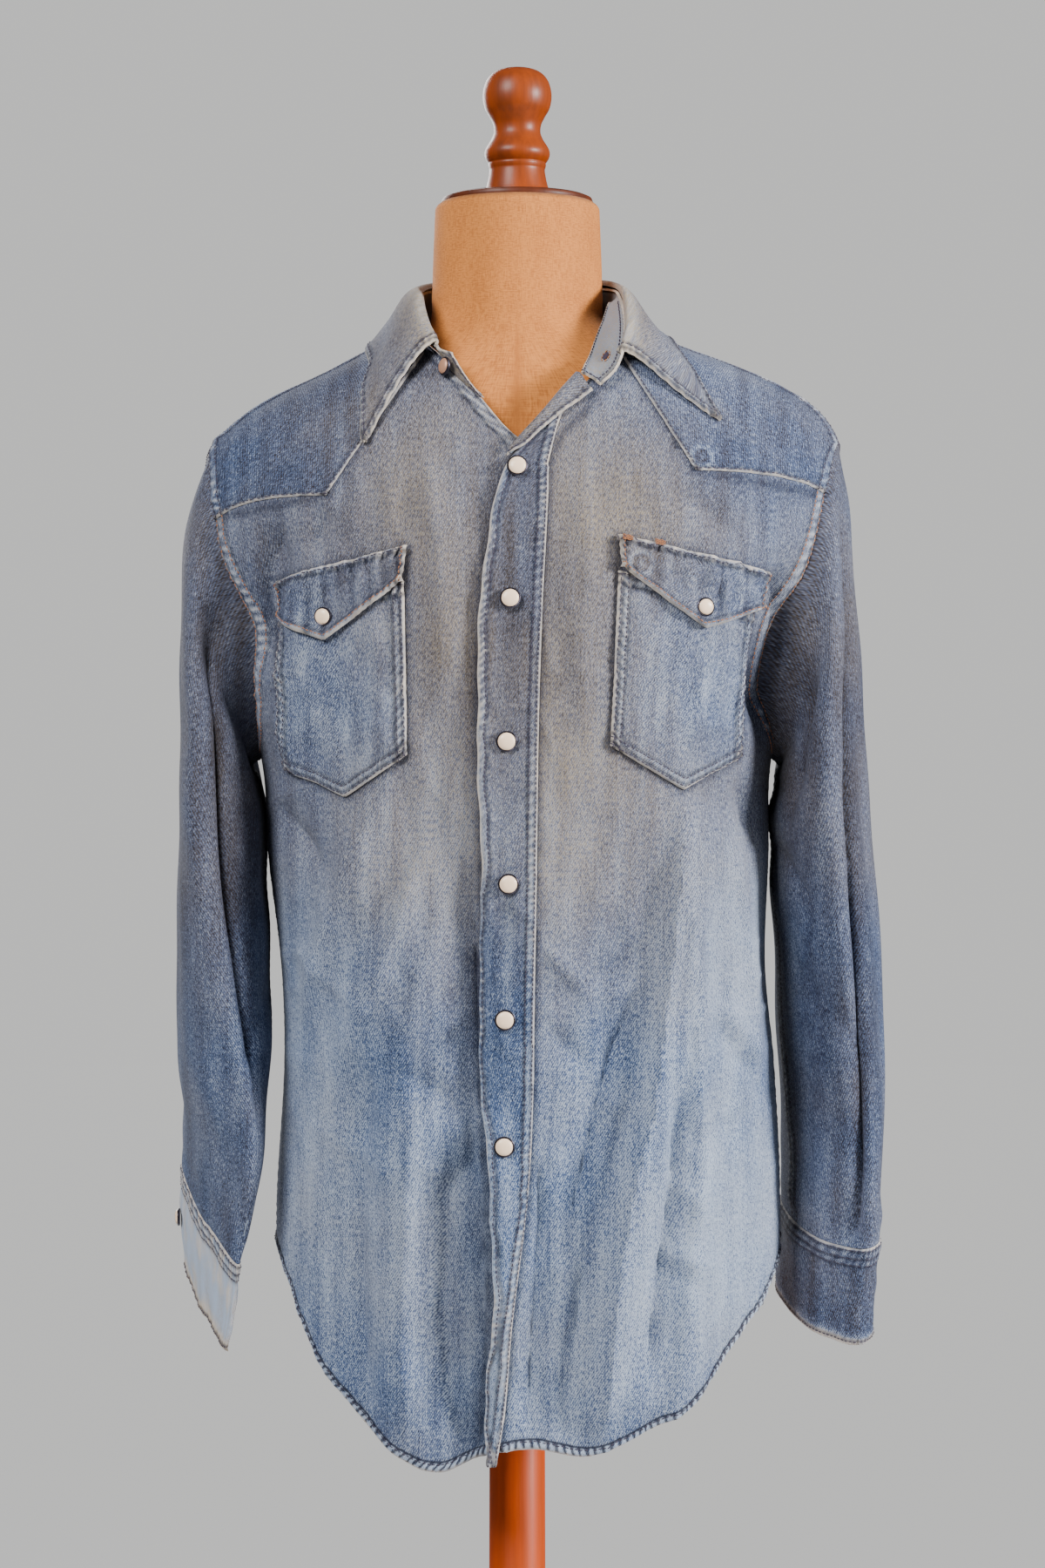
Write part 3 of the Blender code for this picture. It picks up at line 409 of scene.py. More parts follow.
def colour_property(name, description, value):
    return bpy.props.FloatVectorProperty(
        name=name, description=description, default=value, size=3, min=0.0, max=1.0, subtype="COLOR")


class ClothSizes(bpy.types.PropertyGroup):
    """Sizes of the cloth and its stitching."""

    coarse: length_property("Cloth step", "Distance between points away from seams", 0.0034, 0.001, 0.02)
    fine: length_property("Edge step", "Distance between points beside a seam", 0.0011, 0.0003, 0.01)
    stitch_pitch: length_property("Stitch pitch", "Distance from one stitch to the next", 0.0033, 0.001, 0.01)
    stitch_width: length_property("Thread width", "Width of the sewing thread", 0.00075, 0.0002, 0.002)
    weave: length_property("Twill pitch", "From one rib of the twill to the next", 0.0014, 0.0003, 0.004)
    snap_radius: length_property("Snap radius", "Radius of a snap cap", 0.0067, 0.003, 0.01)


class ShirtColours(bpy.types.PropertyGroup):
    """Colours of the cloth, threads and snaps."""

    deep: colour_property("Deep indigo", "Least faded denim", (0.005, 0.006, 0.018))
    middle: colour_property("Middle blue", "Half faded denim", (0.055, 0.091, 0.192))
    pale: colour_property("Pale blue", "Most faded denim", (0.345, 0.413, 0.528))
    worn: colour_property("Worn edge", "White core of the yarns at rubbed edges", (0.660, 0.550, 0.425))
    tan: colour_property("Tan wear", "Denim worn through to its yellowed weft", (0.270, 0.203, 0.112))
    thread: colour_property("Seam thread", "Dark topstitching", (0.035, 0.026, 0.050))
    rust: colour_property("Pocket thread", "Rust topstitching", (0.300, 0.120, 0.050))
    cap: colour_property("Snap cap", "Pearly cap of a snap", (1.000, 0.740, 0.520))
    rim: colour_property("Snap rim", "Dark metal rim of a snap", (0.045, 0.040, 0.055))


class StandColours(bpy.types.PropertyGroup):
    """Colours of the form and its stand."""

    linen: colour_property("Linen", "Cover of the form", (0.620, 0.225, 0.050))
    linen_dark: colour_property("Aged linen", "Darker patches of the cover", (0.420, 0.135, 0.028))
    turned_wood: colour_property("Turned wood", "Varnished finial", (0.300, 0.048, 0.004))
    turned_grain: colour_property("Turned grain", "Dark grain of the finial", (0.120, 0.024, 0.006))
    pole_wood: colour_property("Pole wood", "Varnished pole and base", (0.520, 0.062, 0.003))
    pole_grain: colour_property("Pole grain", "Dark grain of the pole and base", (0.280, 0.040, 0.004))


class StageSettings(bpy.types.PropertyGroup):
    """Floor, lights and camera."""

    floor: colour_property("Floor", "Plain floor and backdrop", (0.80, 0.80, 0.79))
    key_power: power_property("Key light", "Power of the smallest and nearest soft light", 200.0)
    fill_power: power_property("Fill light", "Power of the light on the other side", 165.0)
    behind_power: power_property("Back light", "Power of the soft light behind the shirt", 110.0)
    camera_distance: length_property("Camera distance", "From the camera to the pole", 2.7, 0.5)
    camera_height: length_property("Camera height", "Height of the camera", 1.10, 0.0)


def sizes():
    return bpy.context.scene.shirt_sizes


def colours():
    return bpy.context.scene.shirt_colours


# ------------------------------------------------------------------ curves and surfaces
def curve(rows, column, at):
    """Column of a table where its first column is at, on a smooth curve through the rows."""
    table = np.array(sorted(rows), float)
    x, y = table[:, 0], table[:, column]
    slope = np.empty_like(y)
    slope[1:-1] = (y[2:] - y[:-2]) / (x[2:] - x[:-2])
    slope[0] = (y[1] - y[0]) / (x[1] - x[0])
    slope[-1] = (y[-1] - y[-2]) / (x[-1] - x[-2])
    at = np.clip(at, x[0], x[-1])
    k = np.clip(np.searchsorted(x, at, side="right") - 1, 0, len(x) - 2)
    span = x[k + 1] - x[k]
    t = (at - x[k]) / span
    return ((2 * t**3 - 3 * t**2 + 1) * y[k] + (t**3 - 2 * t**2 + t) * span * slope[k]
            + (3 * t**2 - 2 * t**3) * y[k + 1] + (t**3 - t**2) * span * slope[k + 1])


def loft(stations, at):
    """Points between stations (rings of points), on smooth curves through them."""
    count = len(stations)
    padded = np.concatenate([2 * stations[:1] - stations[1:2], stations, 2 * stations[-1:] - stations[-2:-1]])
    k = np.clip(np.floor(at).astype(int), 0, count - 2)
    t = (at - k)[:, None, None]
    a, b, c, d = padded[k], padded[k + 1], padded[k + 2], padded[k + 3]
    return 0.5 * (2 * b + (c - a) * t + (2 * a - 5 * b + 4 * c - d) * t**2 + (3 * b - a - 3 * c + d) * t**3)


def signed_power(value, power):
    return np.sign(value) * np.abs(value) ** power


def ease(low, high, value):
    """0 below low, 1 above high, smooth between."""
    t = np.clip((value - low) / (high - low), 0, 1)
    return t * t * (3 - 2 * t)


def unit(vectors):
    return vectors / np.maximum(np.linalg.norm(vectors, axis=-1, keepdims=True), 1e-12)


def oval(rows, angle, z):
    """Points of level sections. The angle runs from the middle front, 90 on the wearer's left."""
    angle, z = np.broadcast_arrays(np.asarray(angle, float), np.asarray(z, float))
    right, left, front, back, square = (curve(rows, column, z) for column in range(1, 6))
    across, ahead = np.sin(np.radians(angle)), np.cos(np.radians(angle))
    x = np.where(across > 0, left, right) * signed_power(across, 2 / square)
    y = -np.where(ahead > 0, front, back) * signed_power(ahead, 2 / square)
    return np.stack([x, y, z], -1)


def angle_at(x, z):
    """Angle round the torso where its front half has this x."""
    width = np.where(x > 0, curve(TORSO, 2, z), curve(TORSO, 1, z))
    share = np.minimum(np.abs(x) / width, 1.0)
    return np.sign(x) * np.degrees(np.arcsin(share ** (curve(TORSO, 5, z) / 2)))


def ripple(a, b, size, seed):
    """Soft unevenness between about -1 and 1, from a few crossing waves."""
    draws = np.random.default_rng(seed)
    total = 0.0
    for _ in range(7):
        direction = draws.uniform(0, 2 * math.pi)
        stretch = draws.uniform(0.6, 1.7) * 2 * math.pi / size
        total = total + np.sin((a * math.cos(direction) + b * math.sin(direction)) * stretch
                               + draws.uniform(0, 2 * math.pi))
    return total / 3.5


def fold_relief(folds, a, b):
    """Height of creases that run along lines of a flat map of the cloth."""
    total = np.zeros(np.broadcast(a, b).shape)
    for a0, b0, a1, b1, width, depth, bow in folds:
        run_a, run_b = a1 - a0, b1 - b0
        length = math.hypot(run_a, run_b)
        t = ((a - a0) * run_a + (b - b0) * run_b) / length**2
        away = ((a - a0) * -run_b + (b - b0) * run_a) / length - bow * np.sin(math.pi * np.clip(t, 0, 1))
        window = np.sin(math.pi * np.clip((t + 0.15) / 1.3, 0, 1)) ** 0.8
        total -= depth * window * np.exp(-np.abs(2 * away / width) ** 1.25)
    return total


def crumple(a, b, size, seed):
    """Thin creases between 0 and 1 that wander where two soft waves cross."""
    return np.exp(-np.abs(ripple(a, b, size, seed)) * 5.0) * (0.5 + 0.5 * ripple(a, b, size * 1.7, seed + 1))


def front_relief(x, z):
    """Height of the fronts' creases, slanting and upright, with the soft unevenness between them."""
    slanting, upright_gain, deepest = 2.4, 3.0, -0.016
    total = slanting * fold_relief(FRONT_FOLDS, x, z)
    for right, left, height, line in UPRIGHT_FOLDS:
        away = x - curve(line, 1, z)
        window = ease(line[0][0] - 0.01, line[0][0] + 0.05, z) * ease(line[-1][0] + 0.01, line[-1][0] - 0.05, z)
        total = total + (upright_gain * height * window
                         * np.exp(-np.abs(away / np.where(away < 0, right, left)) ** 1.15))
    soft = 0.0012 * ripple(x * 1.8, z * 0.8, 0.15, 3) + 0.0007 * ripple(x * 1.7, z * 0.7, 0.050, 4)
    soft = soft + 0.0022 * crumple(x * 1.3, z, 0.085, 8) + 0.0016 * crumple(x * 1.3, z * 0.8, 0.050, 14)
    return np.maximum(total + soft * ease(1.40, 1.30, z), deepest)


def skin(angle, z, lift=0.0):
    """Points of the shirt's torso with its creases, moved out along the normal by lift."""
    angle, z = np.broadcast_arrays(np.asarray(angle, float), np.asarray(z, float))
    points = oval(TORSO, angle, z)
    across = oval(TORSO, angle + 0.5, z) - oval(TORSO, angle - 0.5, z)
    up = oval(TORSO, angle, z + 0.002) - oval(TORSO, angle, z - 0.002)
    normal = unit(np.cross(across, up))
    turned = np.mod(angle + 180, 360) - 180
    ahead = ease(90, 60, np.abs(turned))
    girth = (np.mod(angle, 360) - 180) * BACK_PER_DEGREE
    relief = front_relief(points[..., 0], z) * ahead
    behind = fold_relief(BACK_FOLDS, -girth, z) + 0.0012 * ripple(girth, z, 0.15, 5)
    relief = relief + behind * ease(90, 118, np.abs(turned)) * ease(1.41, 1.33, z)
    return points + normal * (relief + lift)[..., None]


def on_front(x, z, lift=0.0):
    return skin(angle_at(x, z), z, lift)


def armhole(turn):
    ahead, up = np.cos(np.radians(turn)), np.sin(np.radians(turn))
    swing = np.where(ahead > 0, ARMHOLE_FRONT, ARMHOLE_BACK)
    lean = (90 - SHOULDER_SEAM - 6) * np.maximum(up, 0) ** 3
    return 90 - swing * ahead - lean, ARMHOLE_MIDDLE + ARMHOLE_HALF * up


def armhole_angle(z, front):
    turn = np.degrees(np.arcsin(np.clip((z - ARMHOLE_MIDDLE) / ARMHOLE_HALF, -1.0, 1.0)))
    return armhole(turn if front else 180 - turn)[0]


def outer_edge(z, front):
    """Angle of a panel's outer edge: the side seam, then the armhole, then the end of the shoulder seam."""
    inside = np.where(z < SHOULDER_Z, armhole_angle(z, front), SHOULDER_SEAM)
    return np.where(z <= ARMPIT_Z, 90.0, inside)


def back_yoke_seam(angle):
    return BACK_YOKE_Z - BACK_YOKE_POINT * np.maximum(0.0, 1 - np.abs(angle - 180) / 58)


def back_hem(angle):
    return 0.622 + 0.150 * (np.abs(np.sin(np.radians(angle))) ** 0.9) ** 2.8


# ------------------------------------------------------------------ seams
def seam_finish(distance, run, rows=(0.0022, 0.0085), curl=0.0012, puff=0.0009, rope=0.0004, phase=0.0):
    """Height, darkness and paleness of a stitched edge by the distance from it and the run along it."""
    last = rows[-1] if rows else 0.003
    band = ease(0.0002, 0.0014, distance) * ease(last + 0.0022, last - 0.0004, distance)
    twist = np.sin(2 * math.pi * (run / 0.0062 + 0.6 * np.sin(run / 0.023 + phase) + distance / 0.014) + phase)
    twist = twist * (0.65 + 0.35 * np.sin(run / 0.041 + 2 * phase))
    wake = np.exp(-(distance / (last + 0.004)) ** 2)
    groove = sum((np.exp(-((distance - row) / 0.0014) ** 2) for row in rows), np.zeros_like(distance))
    edge = np.exp(-(distance / 0.0015) ** 2)
    height = puff * band - curl * np.exp(-(distance / 0.0011) ** 2) + rope * twist * wake - 0.0006 * groove
    dark = 1.05 * groove + np.maximum(-twist, 0) * (0.40 * band + 0.25 * wake)
    pale = 0.95 * edge + np.maximum(twist, 0) * 0.55 * band + 0.15 * band
    return height, dark * (1 - 0.8 * edge), pale


def felled_sides(first, second, run):
    """Finishes of a panel's two side seams, whose puckers don't match."""
    return [seam_finish(distance, run, FELLED_ROWS, phase=k) for k, distance in enumerate((first, second))]


def together(*finishes):
    return tuple(sum(parts) for parts in zip(*finishes))


def steps_between(points, axis):
    """Running length along one axis of a grid of points."""
    length = np.linalg.norm(np.diff(points, axis=axis), axis=-1)
    start = np.zeros_like(np.take(length, [0], axis=axis))
    return np.concatenate([start, np.cumsum(length, axis=axis)], axis=axis)


def reach(points):
    """Distances from the first and last column and the first and last row of a grid."""
    across, along = steps_between(points, 1), steps_between(points, 0)
    return across, across[:, -1:] - across, along, along[-1:] - along


def spots(length, low=True, high=True, coarse=None, edge=0.011):
    """Positions from 0 to 1, close together beside the ends that carry a seam."""
    step, fine = coarse or sizes().coarse, sizes().fine
    inner = list(np.arange(0, edge, fine))
    start = inner if low else [0.0]
    end = [length - value for value in reversed(inner)] if high else [length]
    gap = end[0] - (start[-1] if low else 0.0)
    count = max(2, int(round(gap / step)))
    middle = list(np.linspace(start[-1], end[0], count + 1)[1:-1])
    return np.array(start + middle + end) / length


def outlines(side):
    """Lines (x, z) on a front where other pieces' edges lie."""
    pocket, flap = POCKETS[side], FLAPS[side]
    corner, inner_top = YOKE_CORNER[side], YOKE_INNER_TOP[side]
    end = (1.68 * corner[0], YOKE_END_Z[side])
    placket = [[(row[k], row[0]) for row in PLACKET] for k in (1, 2)]
    return [pocket + pocket[:1], flap + flap[:1], [inner_top, corner, end], *placket]


def beside(x, z, lines, width):
    """1 on the lines, falling to nothing within about twice the width."""
    nearest = np.ones(x.shape)
    for line in lines:
        for (ax, az), (bx, bz) in zip(line, line[1:]):
            long_x, long_z = bx - ax, bz - az
            share = np.clip(((x - ax) * long_x + (z - az) * long_z) / (long_x**2 + long_z**2), 0, 1)
            nearest = np.minimum(nearest, np.hypot(x - ax - share * long_x, z - az - share * long_z))
    return np.exp(-(nearest / width) ** 2)


# ------------------------------------------------------------------ meshes
def finished_mesh(name, bm):
    mesh = bpy.data.meshes.new(name)
    bm.to_mesh(mesh)
    bm.free()
    return mesh


def grid_mesh(name, rows, columns, half=1.0):
    """Flat square grid with so many rows and columns of vertices."""
    bm = bmesh.new()
    bmesh.ops.create_grid(bm, x_segments=columns - 1, y_segments=rows - 1, size=half)
    return finished_mesh(name, bm)


def lay_grid(mesh, points, flat):
    """Moves a grid's vertices to the points and maps them by the two flat coordinates of the weave."""
    mesh.vertices.foreach_set("co", np.ascontiguousarray(points, np.float32).ravel())
    flat = np.stack(flat, -1).reshape(-1, 2)
    corners = np.empty(len(mesh.loops), np.int32)
    mesh.loops.foreach_get("vertex_index", corners)
    mesh.uv_layers.new(name="cloth").data.foreach_set("uv", flat[corners].astype(np.float32).ravel())


def new_object(name, data, *materials):
    made = bpy.data.objects.new(name, data)
    bpy.context.scene.collection.objects.link(made)
    for label in materials:
        data.materials.append(bpy.data.materials[label])
    return made


def put_attribute(mesh, name, values):
    layer = mesh.attributes.new(name, "FLOAT", "POINT")
    layer.data.foreach_set("value", np.ascontiguousarray(values, np.float32).ravel())


def normals_of(points, closed=False):
    if closed:
        wrapped = np.concatenate([points[:, -2:-1], points, points[:, 1:2]], axis=1)
        across = wrapped[:, 2:] - wrapped[:, :-2]
    else:
        across = np.gradient(points, axis=1)
    return unit(np.cross(across, np.gradient(points, axis=0)))


def fading(points):
    """How pale and how tan the cloth is at each point, from the soft spots of fading and of painted light and
    shade, and from its height.
    """
    x, y, z = points[..., 0], points[..., 1], points[..., 2]
    pale = 0.50 - 0.05 * ease(0.85, 1.15, z) + 0.05 * ripple(x, z, 0.22, 11)
    tan = 0.12 + 0.16 * ease(0.90, 1.15, z) + 0.08 * ripple(x, z, 0.13, 12)
    ahead = ease(0.02, -0.04, y)
    pale = pale + 0.085 * ripple(x, z * 0.12, 0.020, 41) + 0.045 * ripple(x, z * 0.2, 0.050, 42)
    # paler where the creases rise and darker in their troughs: partly the wear that ridges take, partly painted
    # shade
    pale = pale + 3 * np.clip(front_relief(x, z), -0.008, 0.010) * ahead * ease(0.20, 0.18, np.abs(x))
    # soft spots of fading, with painted light on the sides and painted shade by the armpits
    for spot_x, spot_z, wide, high, paler, tanner in FADE_AND_SHADE_SPOTS:
        inside = np.exp(-((x - spot_x) / wide) ** 2 - ((z - spot_z) / high) ** 2) * ahead
        pale = pale + paler * inside
        tan = tan + tanner * inside
    for ring_x, ring_z, radius in RING_MARKS:
        from_centre = np.hypot(x - ring_x, z - ring_z)
        pale = pale + 0.32 * (np.exp(-((from_centre - radius) / 0.0016) ** 2)
                              - 0.6 * np.exp(-((from_centre - radius + 0.003) / 0.0016) ** 2)) * ahead
    return pale, np.clip(tan, 0, 1)


def cloth_piece(name, nodes, points, finish, wall=LAYER, flip=False, closed=False, shade=(0.0, 0.0), weave=None,
                hem=None):
    """Cloth panel from a grid of points, with its seams' relief, wall, weave map, and attributes of wear and of
    painted light and shade.

    It stands for the nodes. The yarns follow the grid, or the weave's two coordinates. A hem is the distance
    from it and the run along it. Returns the piece with the points and normals of its good side.
    """
    height, dark, pale = finish
    outward = normals_of(points, closed) * (-1 if flip else 1)
    points = points + outward * (height + wall / 2)[..., None]
    mesh = grid_mesh(name, *points.shape[:2])
    lay_grid(mesh, points, weave or (steps_between(points, 1), steps_between(points, 0)))
    faded, tanned = fading(points)
    put_attribute(mesh, "faded", faded + shade[0])
    put_attribute(mesh, "tanned", np.clip(tanned + shade[1], 0, 1))
    # the seam attribute holds the dark of seams and hems together with painted shade
    put_attribute(mesh, "seam", np.clip(dark, 0, 1))
    put_attribute(mesh, "rubbed", np.clip(pale, 0, 1))
    gap, run = hem or (np.ones_like(faded), np.zeros_like(faded))
    put_attribute(mesh, "hem_gap", gap)
    put_attribute(mesh, "hem_run", run)
    mesh.update()
    bm = bmesh.new()
    bm.from_mesh(mesh)
    if closed:
        bmesh.ops.remove_doubles(bm, verts=bm.verts, dist=MERGE)
    if flip:
        bmesh.ops.reverse_faces(bm, faces=bm.faces)
    bm.to_mesh(mesh)
    bm.free()
    return hand_over(walled(name, mesh, wall), "denim", *nodes), points, outward


def upright(points):
    """Weave coordinates on the body: the yarns run upright, across the front or back, then round the side."""
    x, y, z = points[..., 0], points[..., 1], points[..., 2]
    face = np.where(np.mean(y) < 0, -curve(TORSO, 3, z), curve(TORSO, 4, z))
    return x + np.sign(x) * np.maximum(np.abs(y - face) - 0.015, 0) * 0.8, z


def walled(name, mesh, wall):
    """Cloth with a wall behind its good side, and the reverse of the cloth on the wall's inner face."""
    piece = new_object(name, mesh, "faded_denim", "denim_reverse")
    mesh.shade_smooth()
    solid = piece.modifiers.new("wall", "SOLIDIFY")
    solid.thickness = wall
    solid.offset = -1.0
    solid.material_offset = 1
    solid.material_offset_rim = 0
    return baked(piece)


def baked(piece):
    """The piece with its modifiers applied and its hard edges marked."""
    graph = bpy.context.evaluated_depsgraph_get()
    mesh = bpy.data.meshes.new_from_object(piece.evaluated_get(graph), preserve_all_data_layers=True,
                                           depsgraph=graph)
    piece.modifiers.clear()
    piece.data = mesh
    mesh.set_sharp_from_angle(angle=math.radians(55))
    return piece


def hand_over(piece, slot, *nodes):
    """The piece rides on the one body and stands for its nodes. The slot is not used."""
    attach(piece, "root")
    if nodes:
        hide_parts(*nodes)
    return piece


STITCHES = {"thread": [], "rust": []}


def sew(points, outward, thread="thread", skip=0.0):
    """Notes a row of stitches along a line that lies on the cloth."""
    length = np.concatenate([[0], np.cumsum(np.linalg.norm(np.diff(points, axis=0), axis=1))])
    pitch = sizes().stitch_pitch
    middles = np.arange(pitch / 2, length[-1] - pitch / 2, pitch)
    if len(middles) < 1:
        return
    if skip:
        draws = np.random.default_rng(int(length[-1] * 1e5) % 9973)
        middles = middles[draws.random(len(middles)) > skip]
    centre = np.stack([np.interp(middles, length, points[:, i]) for i in range(3)], -1)
    ahead = np.stack([np.interp(middles + pitch * 0.3, length, points[:, i]) for i in range(3)], -1)
    facing = unit(np.stack([np.interp(middles, length, outward[:, i]) for i in range(3)], -1))
    STITCHES[thread].append((centre, unit(ahead - centre), facing))


def line_at(points, outward, edge, distance):
    """Line on a grid of points at a distance from its left, right, low or high edge, with its normals."""
    if edge in ("low", "high"):
        points, outward = points.swapaxes(0, 1), outward.swapaxes(0, 1)
    if edge in ("right", "high"):
        points, outward = points[:, ::-1], outward[:, ::-1]
    run = steps_between(points, 1)
    return tuple(np.array([[np.interp(distance, run[k], grid[k, :, i]) for i in range(3)]
                           for k in range(len(grid))]) for grid in (points, outward))


def sew_edges(points, outward, edges, distances, thread="thread"):
    """Notes rows of stitches at the distances from each of the edges."""
    for edge in edges:
        for distance in distances:
            sew(*line_at(points, outward, edge, distance), thread=thread)


# ------------------------------------------------------------------ shader nodes
def node(tree, kind, inputs=None, **settings):
    """New node with its settings and inputs; an input is a value or another node's output."""
    made = tree.nodes.new(kind)
    for name, value in settings.items():
        setattr(made, name, value)
    for key, value in (inputs or {}).items():
        if isinstance(value, bpy.types.NodeSocket):
            tree.links.new(value, made.inputs[key])
        else:
            made.inputs[key].default_value = value
    return made


def maths(tree, operation, a, b=0.0, clamp=False):
    return node(tree, "ShaderNodeMath", {0: a, 1: b}, operation=operation, use_clamp=clamp).outputs[0]


def plus(tree, a, b, clamp=False):
    return maths(tree, "ADD", a, b, clamp)


def minus(tree, a, b):
    return maths(tree, "SUBTRACT", a, b)


def times(tree, a, b, clamp=False):
    return maths(tree, "MULTIPLY", a, b, clamp)


def blend(tree, factor, a, b, mode="MIX"):
    made = node(tree, "ShaderNodeMix", {"Factor": factor}, data_type="RGBA", blend_type=mode)
    for name, value in (("A", a), ("B", b)):
        socket = next(item for item in made.inputs if item.name == name and item.type == "RGBA")
        if isinstance(value, bpy.types.NodeSocket):
            tree.links.new(value, socket)
        else:
            socket.default_value = (*value[:3], 1.0)
    return next(item for item in made.outputs if item.type == "RGBA")


def attribute(tree, name):
    return node(tree, "ShaderNodeAttribute", attribute_name=name).outputs["Fac"]


def stretched_noise(tree, vector, stretch, detail=2.0):
    """Noise between 0 and 1 whose cells are stretched."""
    scaled = node(tree, "ShaderNodeVectorMath", {0: vector, 1: stretch}, operation="MULTIPLY").outputs[0]
    inputs = {"Vector": scaled, "Scale": 1.0, "Detail": detail, "Roughness": 0.6}
    return node(tree, "ShaderNodeTexNoise", inputs).outputs["Fac"]


def spread(tree, value, low, high, to_low=0.0, to_high=1.0):
    inputs = {"Value": value, "From Min": low, "From Max": high, "To Min": to_low, "To Max": to_high}
    return node(tree, "ShaderNodeMapRange", inputs, clamp=True).outputs[0]


def new_group(name, inputs, outputs):
    group = bpy.data.node_groups.new(name, "ShaderNodeTree")
    for label, kind, value in inputs:
        group.interface.new_socket(label, in_out="INPUT", socket_type=kind).default_value = value
    for label, kind in outputs:
        group.interface.new_socket(label, in_out="OUTPUT", socket_type=kind)
    return group, group.nodes.new("NodeGroupInput").outputs, group.nodes.new("NodeGroupOutput").inputs


COLOUR, VALUE = "NodeSocketColor", "NodeSocketFloat"
PLAIN = (0.5, 0.5, 0.5, 1.0)
DENIM_TONES = ("Deep", "Middle", "Pale", "Tan", "Worn")


def hem_marks(group, cloud):
    """Slanting marks along a hem that has shrunk and twisted: dark stripes, a dark line and pale stripes."""
    gap, run = attribute(group, "hem_gap"), attribute(group, "hem_run")
    band = times(group, spread(group, gap, 0.0058, 0.0074, 1.0, 0.0), spread(group, gap, 0.0003, 0.0014))
    turns = plus(group, times(group, run, 182.0), times(group, gap, 55.0))
    turns = plus(group, turns, times(group, cloud, 3.5))
    twist = maths(group, "SINE", times(group, turns, 2 * math.pi))
    stripe = times(group, spread(group, twist, 0.15, 0.85), band)
    from_line = maths(group, "ABSOLUTE", minus(group, gap, 0.0068))
    line = spread(group, from_line, 0.0004, 0.0012, 1.0, 0.0)
    return stripe, line, times(group, spread(group, twist, 0.0, -0.6), band)


def denim_group():
    """Twill with streaky yarns that fades from deep indigo to pale blue and tan."""
    group, given, result = new_group(
        "Denim weave", [(label, COLOUR, PLAIN) for label in DENIM_TONES] + [("Twill pitch", VALUE, 0.001)],
        [("Colour", COLOUR), ("Height", VALUE)])
    place = node(group, "ShaderNodeUVMap", uv_map="cloth").outputs[0]
    apart = node(group, "ShaderNodeSeparateXYZ", {0: place}).outputs
    turns = maths(group, "DIVIDE", minus(group, times(group, apart[0], 0.86),
                                         times(group, apart[1], 0.5)), given["Twill pitch"])
    ribs = maths(group, "SINE", times(group, turns, 2 * math.pi))
    yarn = stretched_noise(group, place, (820.0, 330.0, 1.0))
    slub = stretched_noise(group, place, (480.0, 34.0, 1.0))
    fleck = stretched_noise(group, place, (1050.0, 900.0, 1.0), 1.0)
    cloud = stretched_noise(group, place, (24.0, 15.0, 1.0), 4.0)
    patch = stretched_noise(group, place, (130.0, 80.0, 1.0), 3.0)
    faded = attribute(group, "faded")
    for value, gain in ((yarn, 1.35), (slub, 0.42), (fleck, 1.15), (cloud, 0.26), (patch, 0.20)):
        faded = plus(group, faded, times(group, minus(group, value, 0.5), gain))
    faded = plus(group, faded, times(group, ribs, 0.16))
    rubbed = times(group, attribute(group, "rubbed"), spread(group, patch, 0.25, 0.7, 0.5, 1.1))
    faded = plus(group, faded, times(group, rubbed, 1.0))
    colour = blend(group, spread(group, faded, 0.0, 0.5), given["Deep"], given["Middle"])
    colour = blend(group, spread(group, faded, 0.5, 1.0), colour, given["Pale"])
    tan = plus(group, attribute(group, "tanned"),
                times(group, minus(group, cloud, 0.5), 0.5))
    tan = times(group, plus(group, tan, times(group, rubbed, 0.25)),
                spread(group, yarn, 0.35, 0.65, 0.35, 1.0), clamp=True)
    colour = blend(group, times(group, tan, 0.9), colour, given["Tan"])
    colour = blend(group, spread(group, rubbed, 0.35, 0.95, 0.0, 0.65), colour, given["Worn"])
    # darkened by seams and hems, and by painted shade beside raised pieces, along the placket, down the sleeves
    # and in the flaps' wrinkles
    dark = times(group, attribute(group, "seam"), spread(group, patch, 0.3, 0.7, 1.0, 0.65))
    colour = blend(group, times(group, dark, 0.85), colour, given["Deep"])
    stripe, line, bright = hem_marks(group, cloud)
    colour = blend(group, times(group, bright, 0.55), colour, given["Pale"])
    marked = times(group, maths(group, "MAXIMUM", stripe, line), 0.78)
    colour = blend(group, marked, colour, given["Deep"])
    group.links.new(colour, result["Colour"])
    height = plus(group, times(group, ribs, 0.25), times(group, yarn, 0.9))
    height = plus(group, height, times(group, stripe, -2.5))
    group.links.new(plus(group, height, fleck), result["Height"])
    return group


def material(name, roughness, **shader_values):
    made = bpy.data.materials.new(name)
    made.use_nodes = True
    shader = made.node_tree.nodes["Principled BSDF"]
    shader.inputs["Roughness"].default_value = roughness
    for key, value in shader_values.items():
        shader.inputs[key.replace("_", " ")].default_value = value
    return made.node_tree, shader


def bumped(tree, shader, height, strength, distance):
    bump = node(tree, "ShaderNodeBump", {"Height": height, "Strength": strength, "Distance": distance})
    tree.links.new(bump.outputs[0], shader.inputs["Normal"])


def denim_material(name, group, palette):
    tree, shader = material(name, 0.88, Sheen_Weight=0.03, Sheen_Roughness=0.5, Specular_IOR_Level=0.18)
    cloth = node(tree, "ShaderNodeGroup", node_tree=group)
    for label, value in zip(DENIM_TONES, palette):
        cloth.inputs[label].default_value = (*value, 1.0)
    cloth.inputs["Twill pitch"].default_value = sizes().weave
    tree.links.new(cloth.outputs["Colour"], shader.inputs["Base Color"])
    bumped(tree, shader, cloth.outputs["Height"], 0.28, 0.00030)


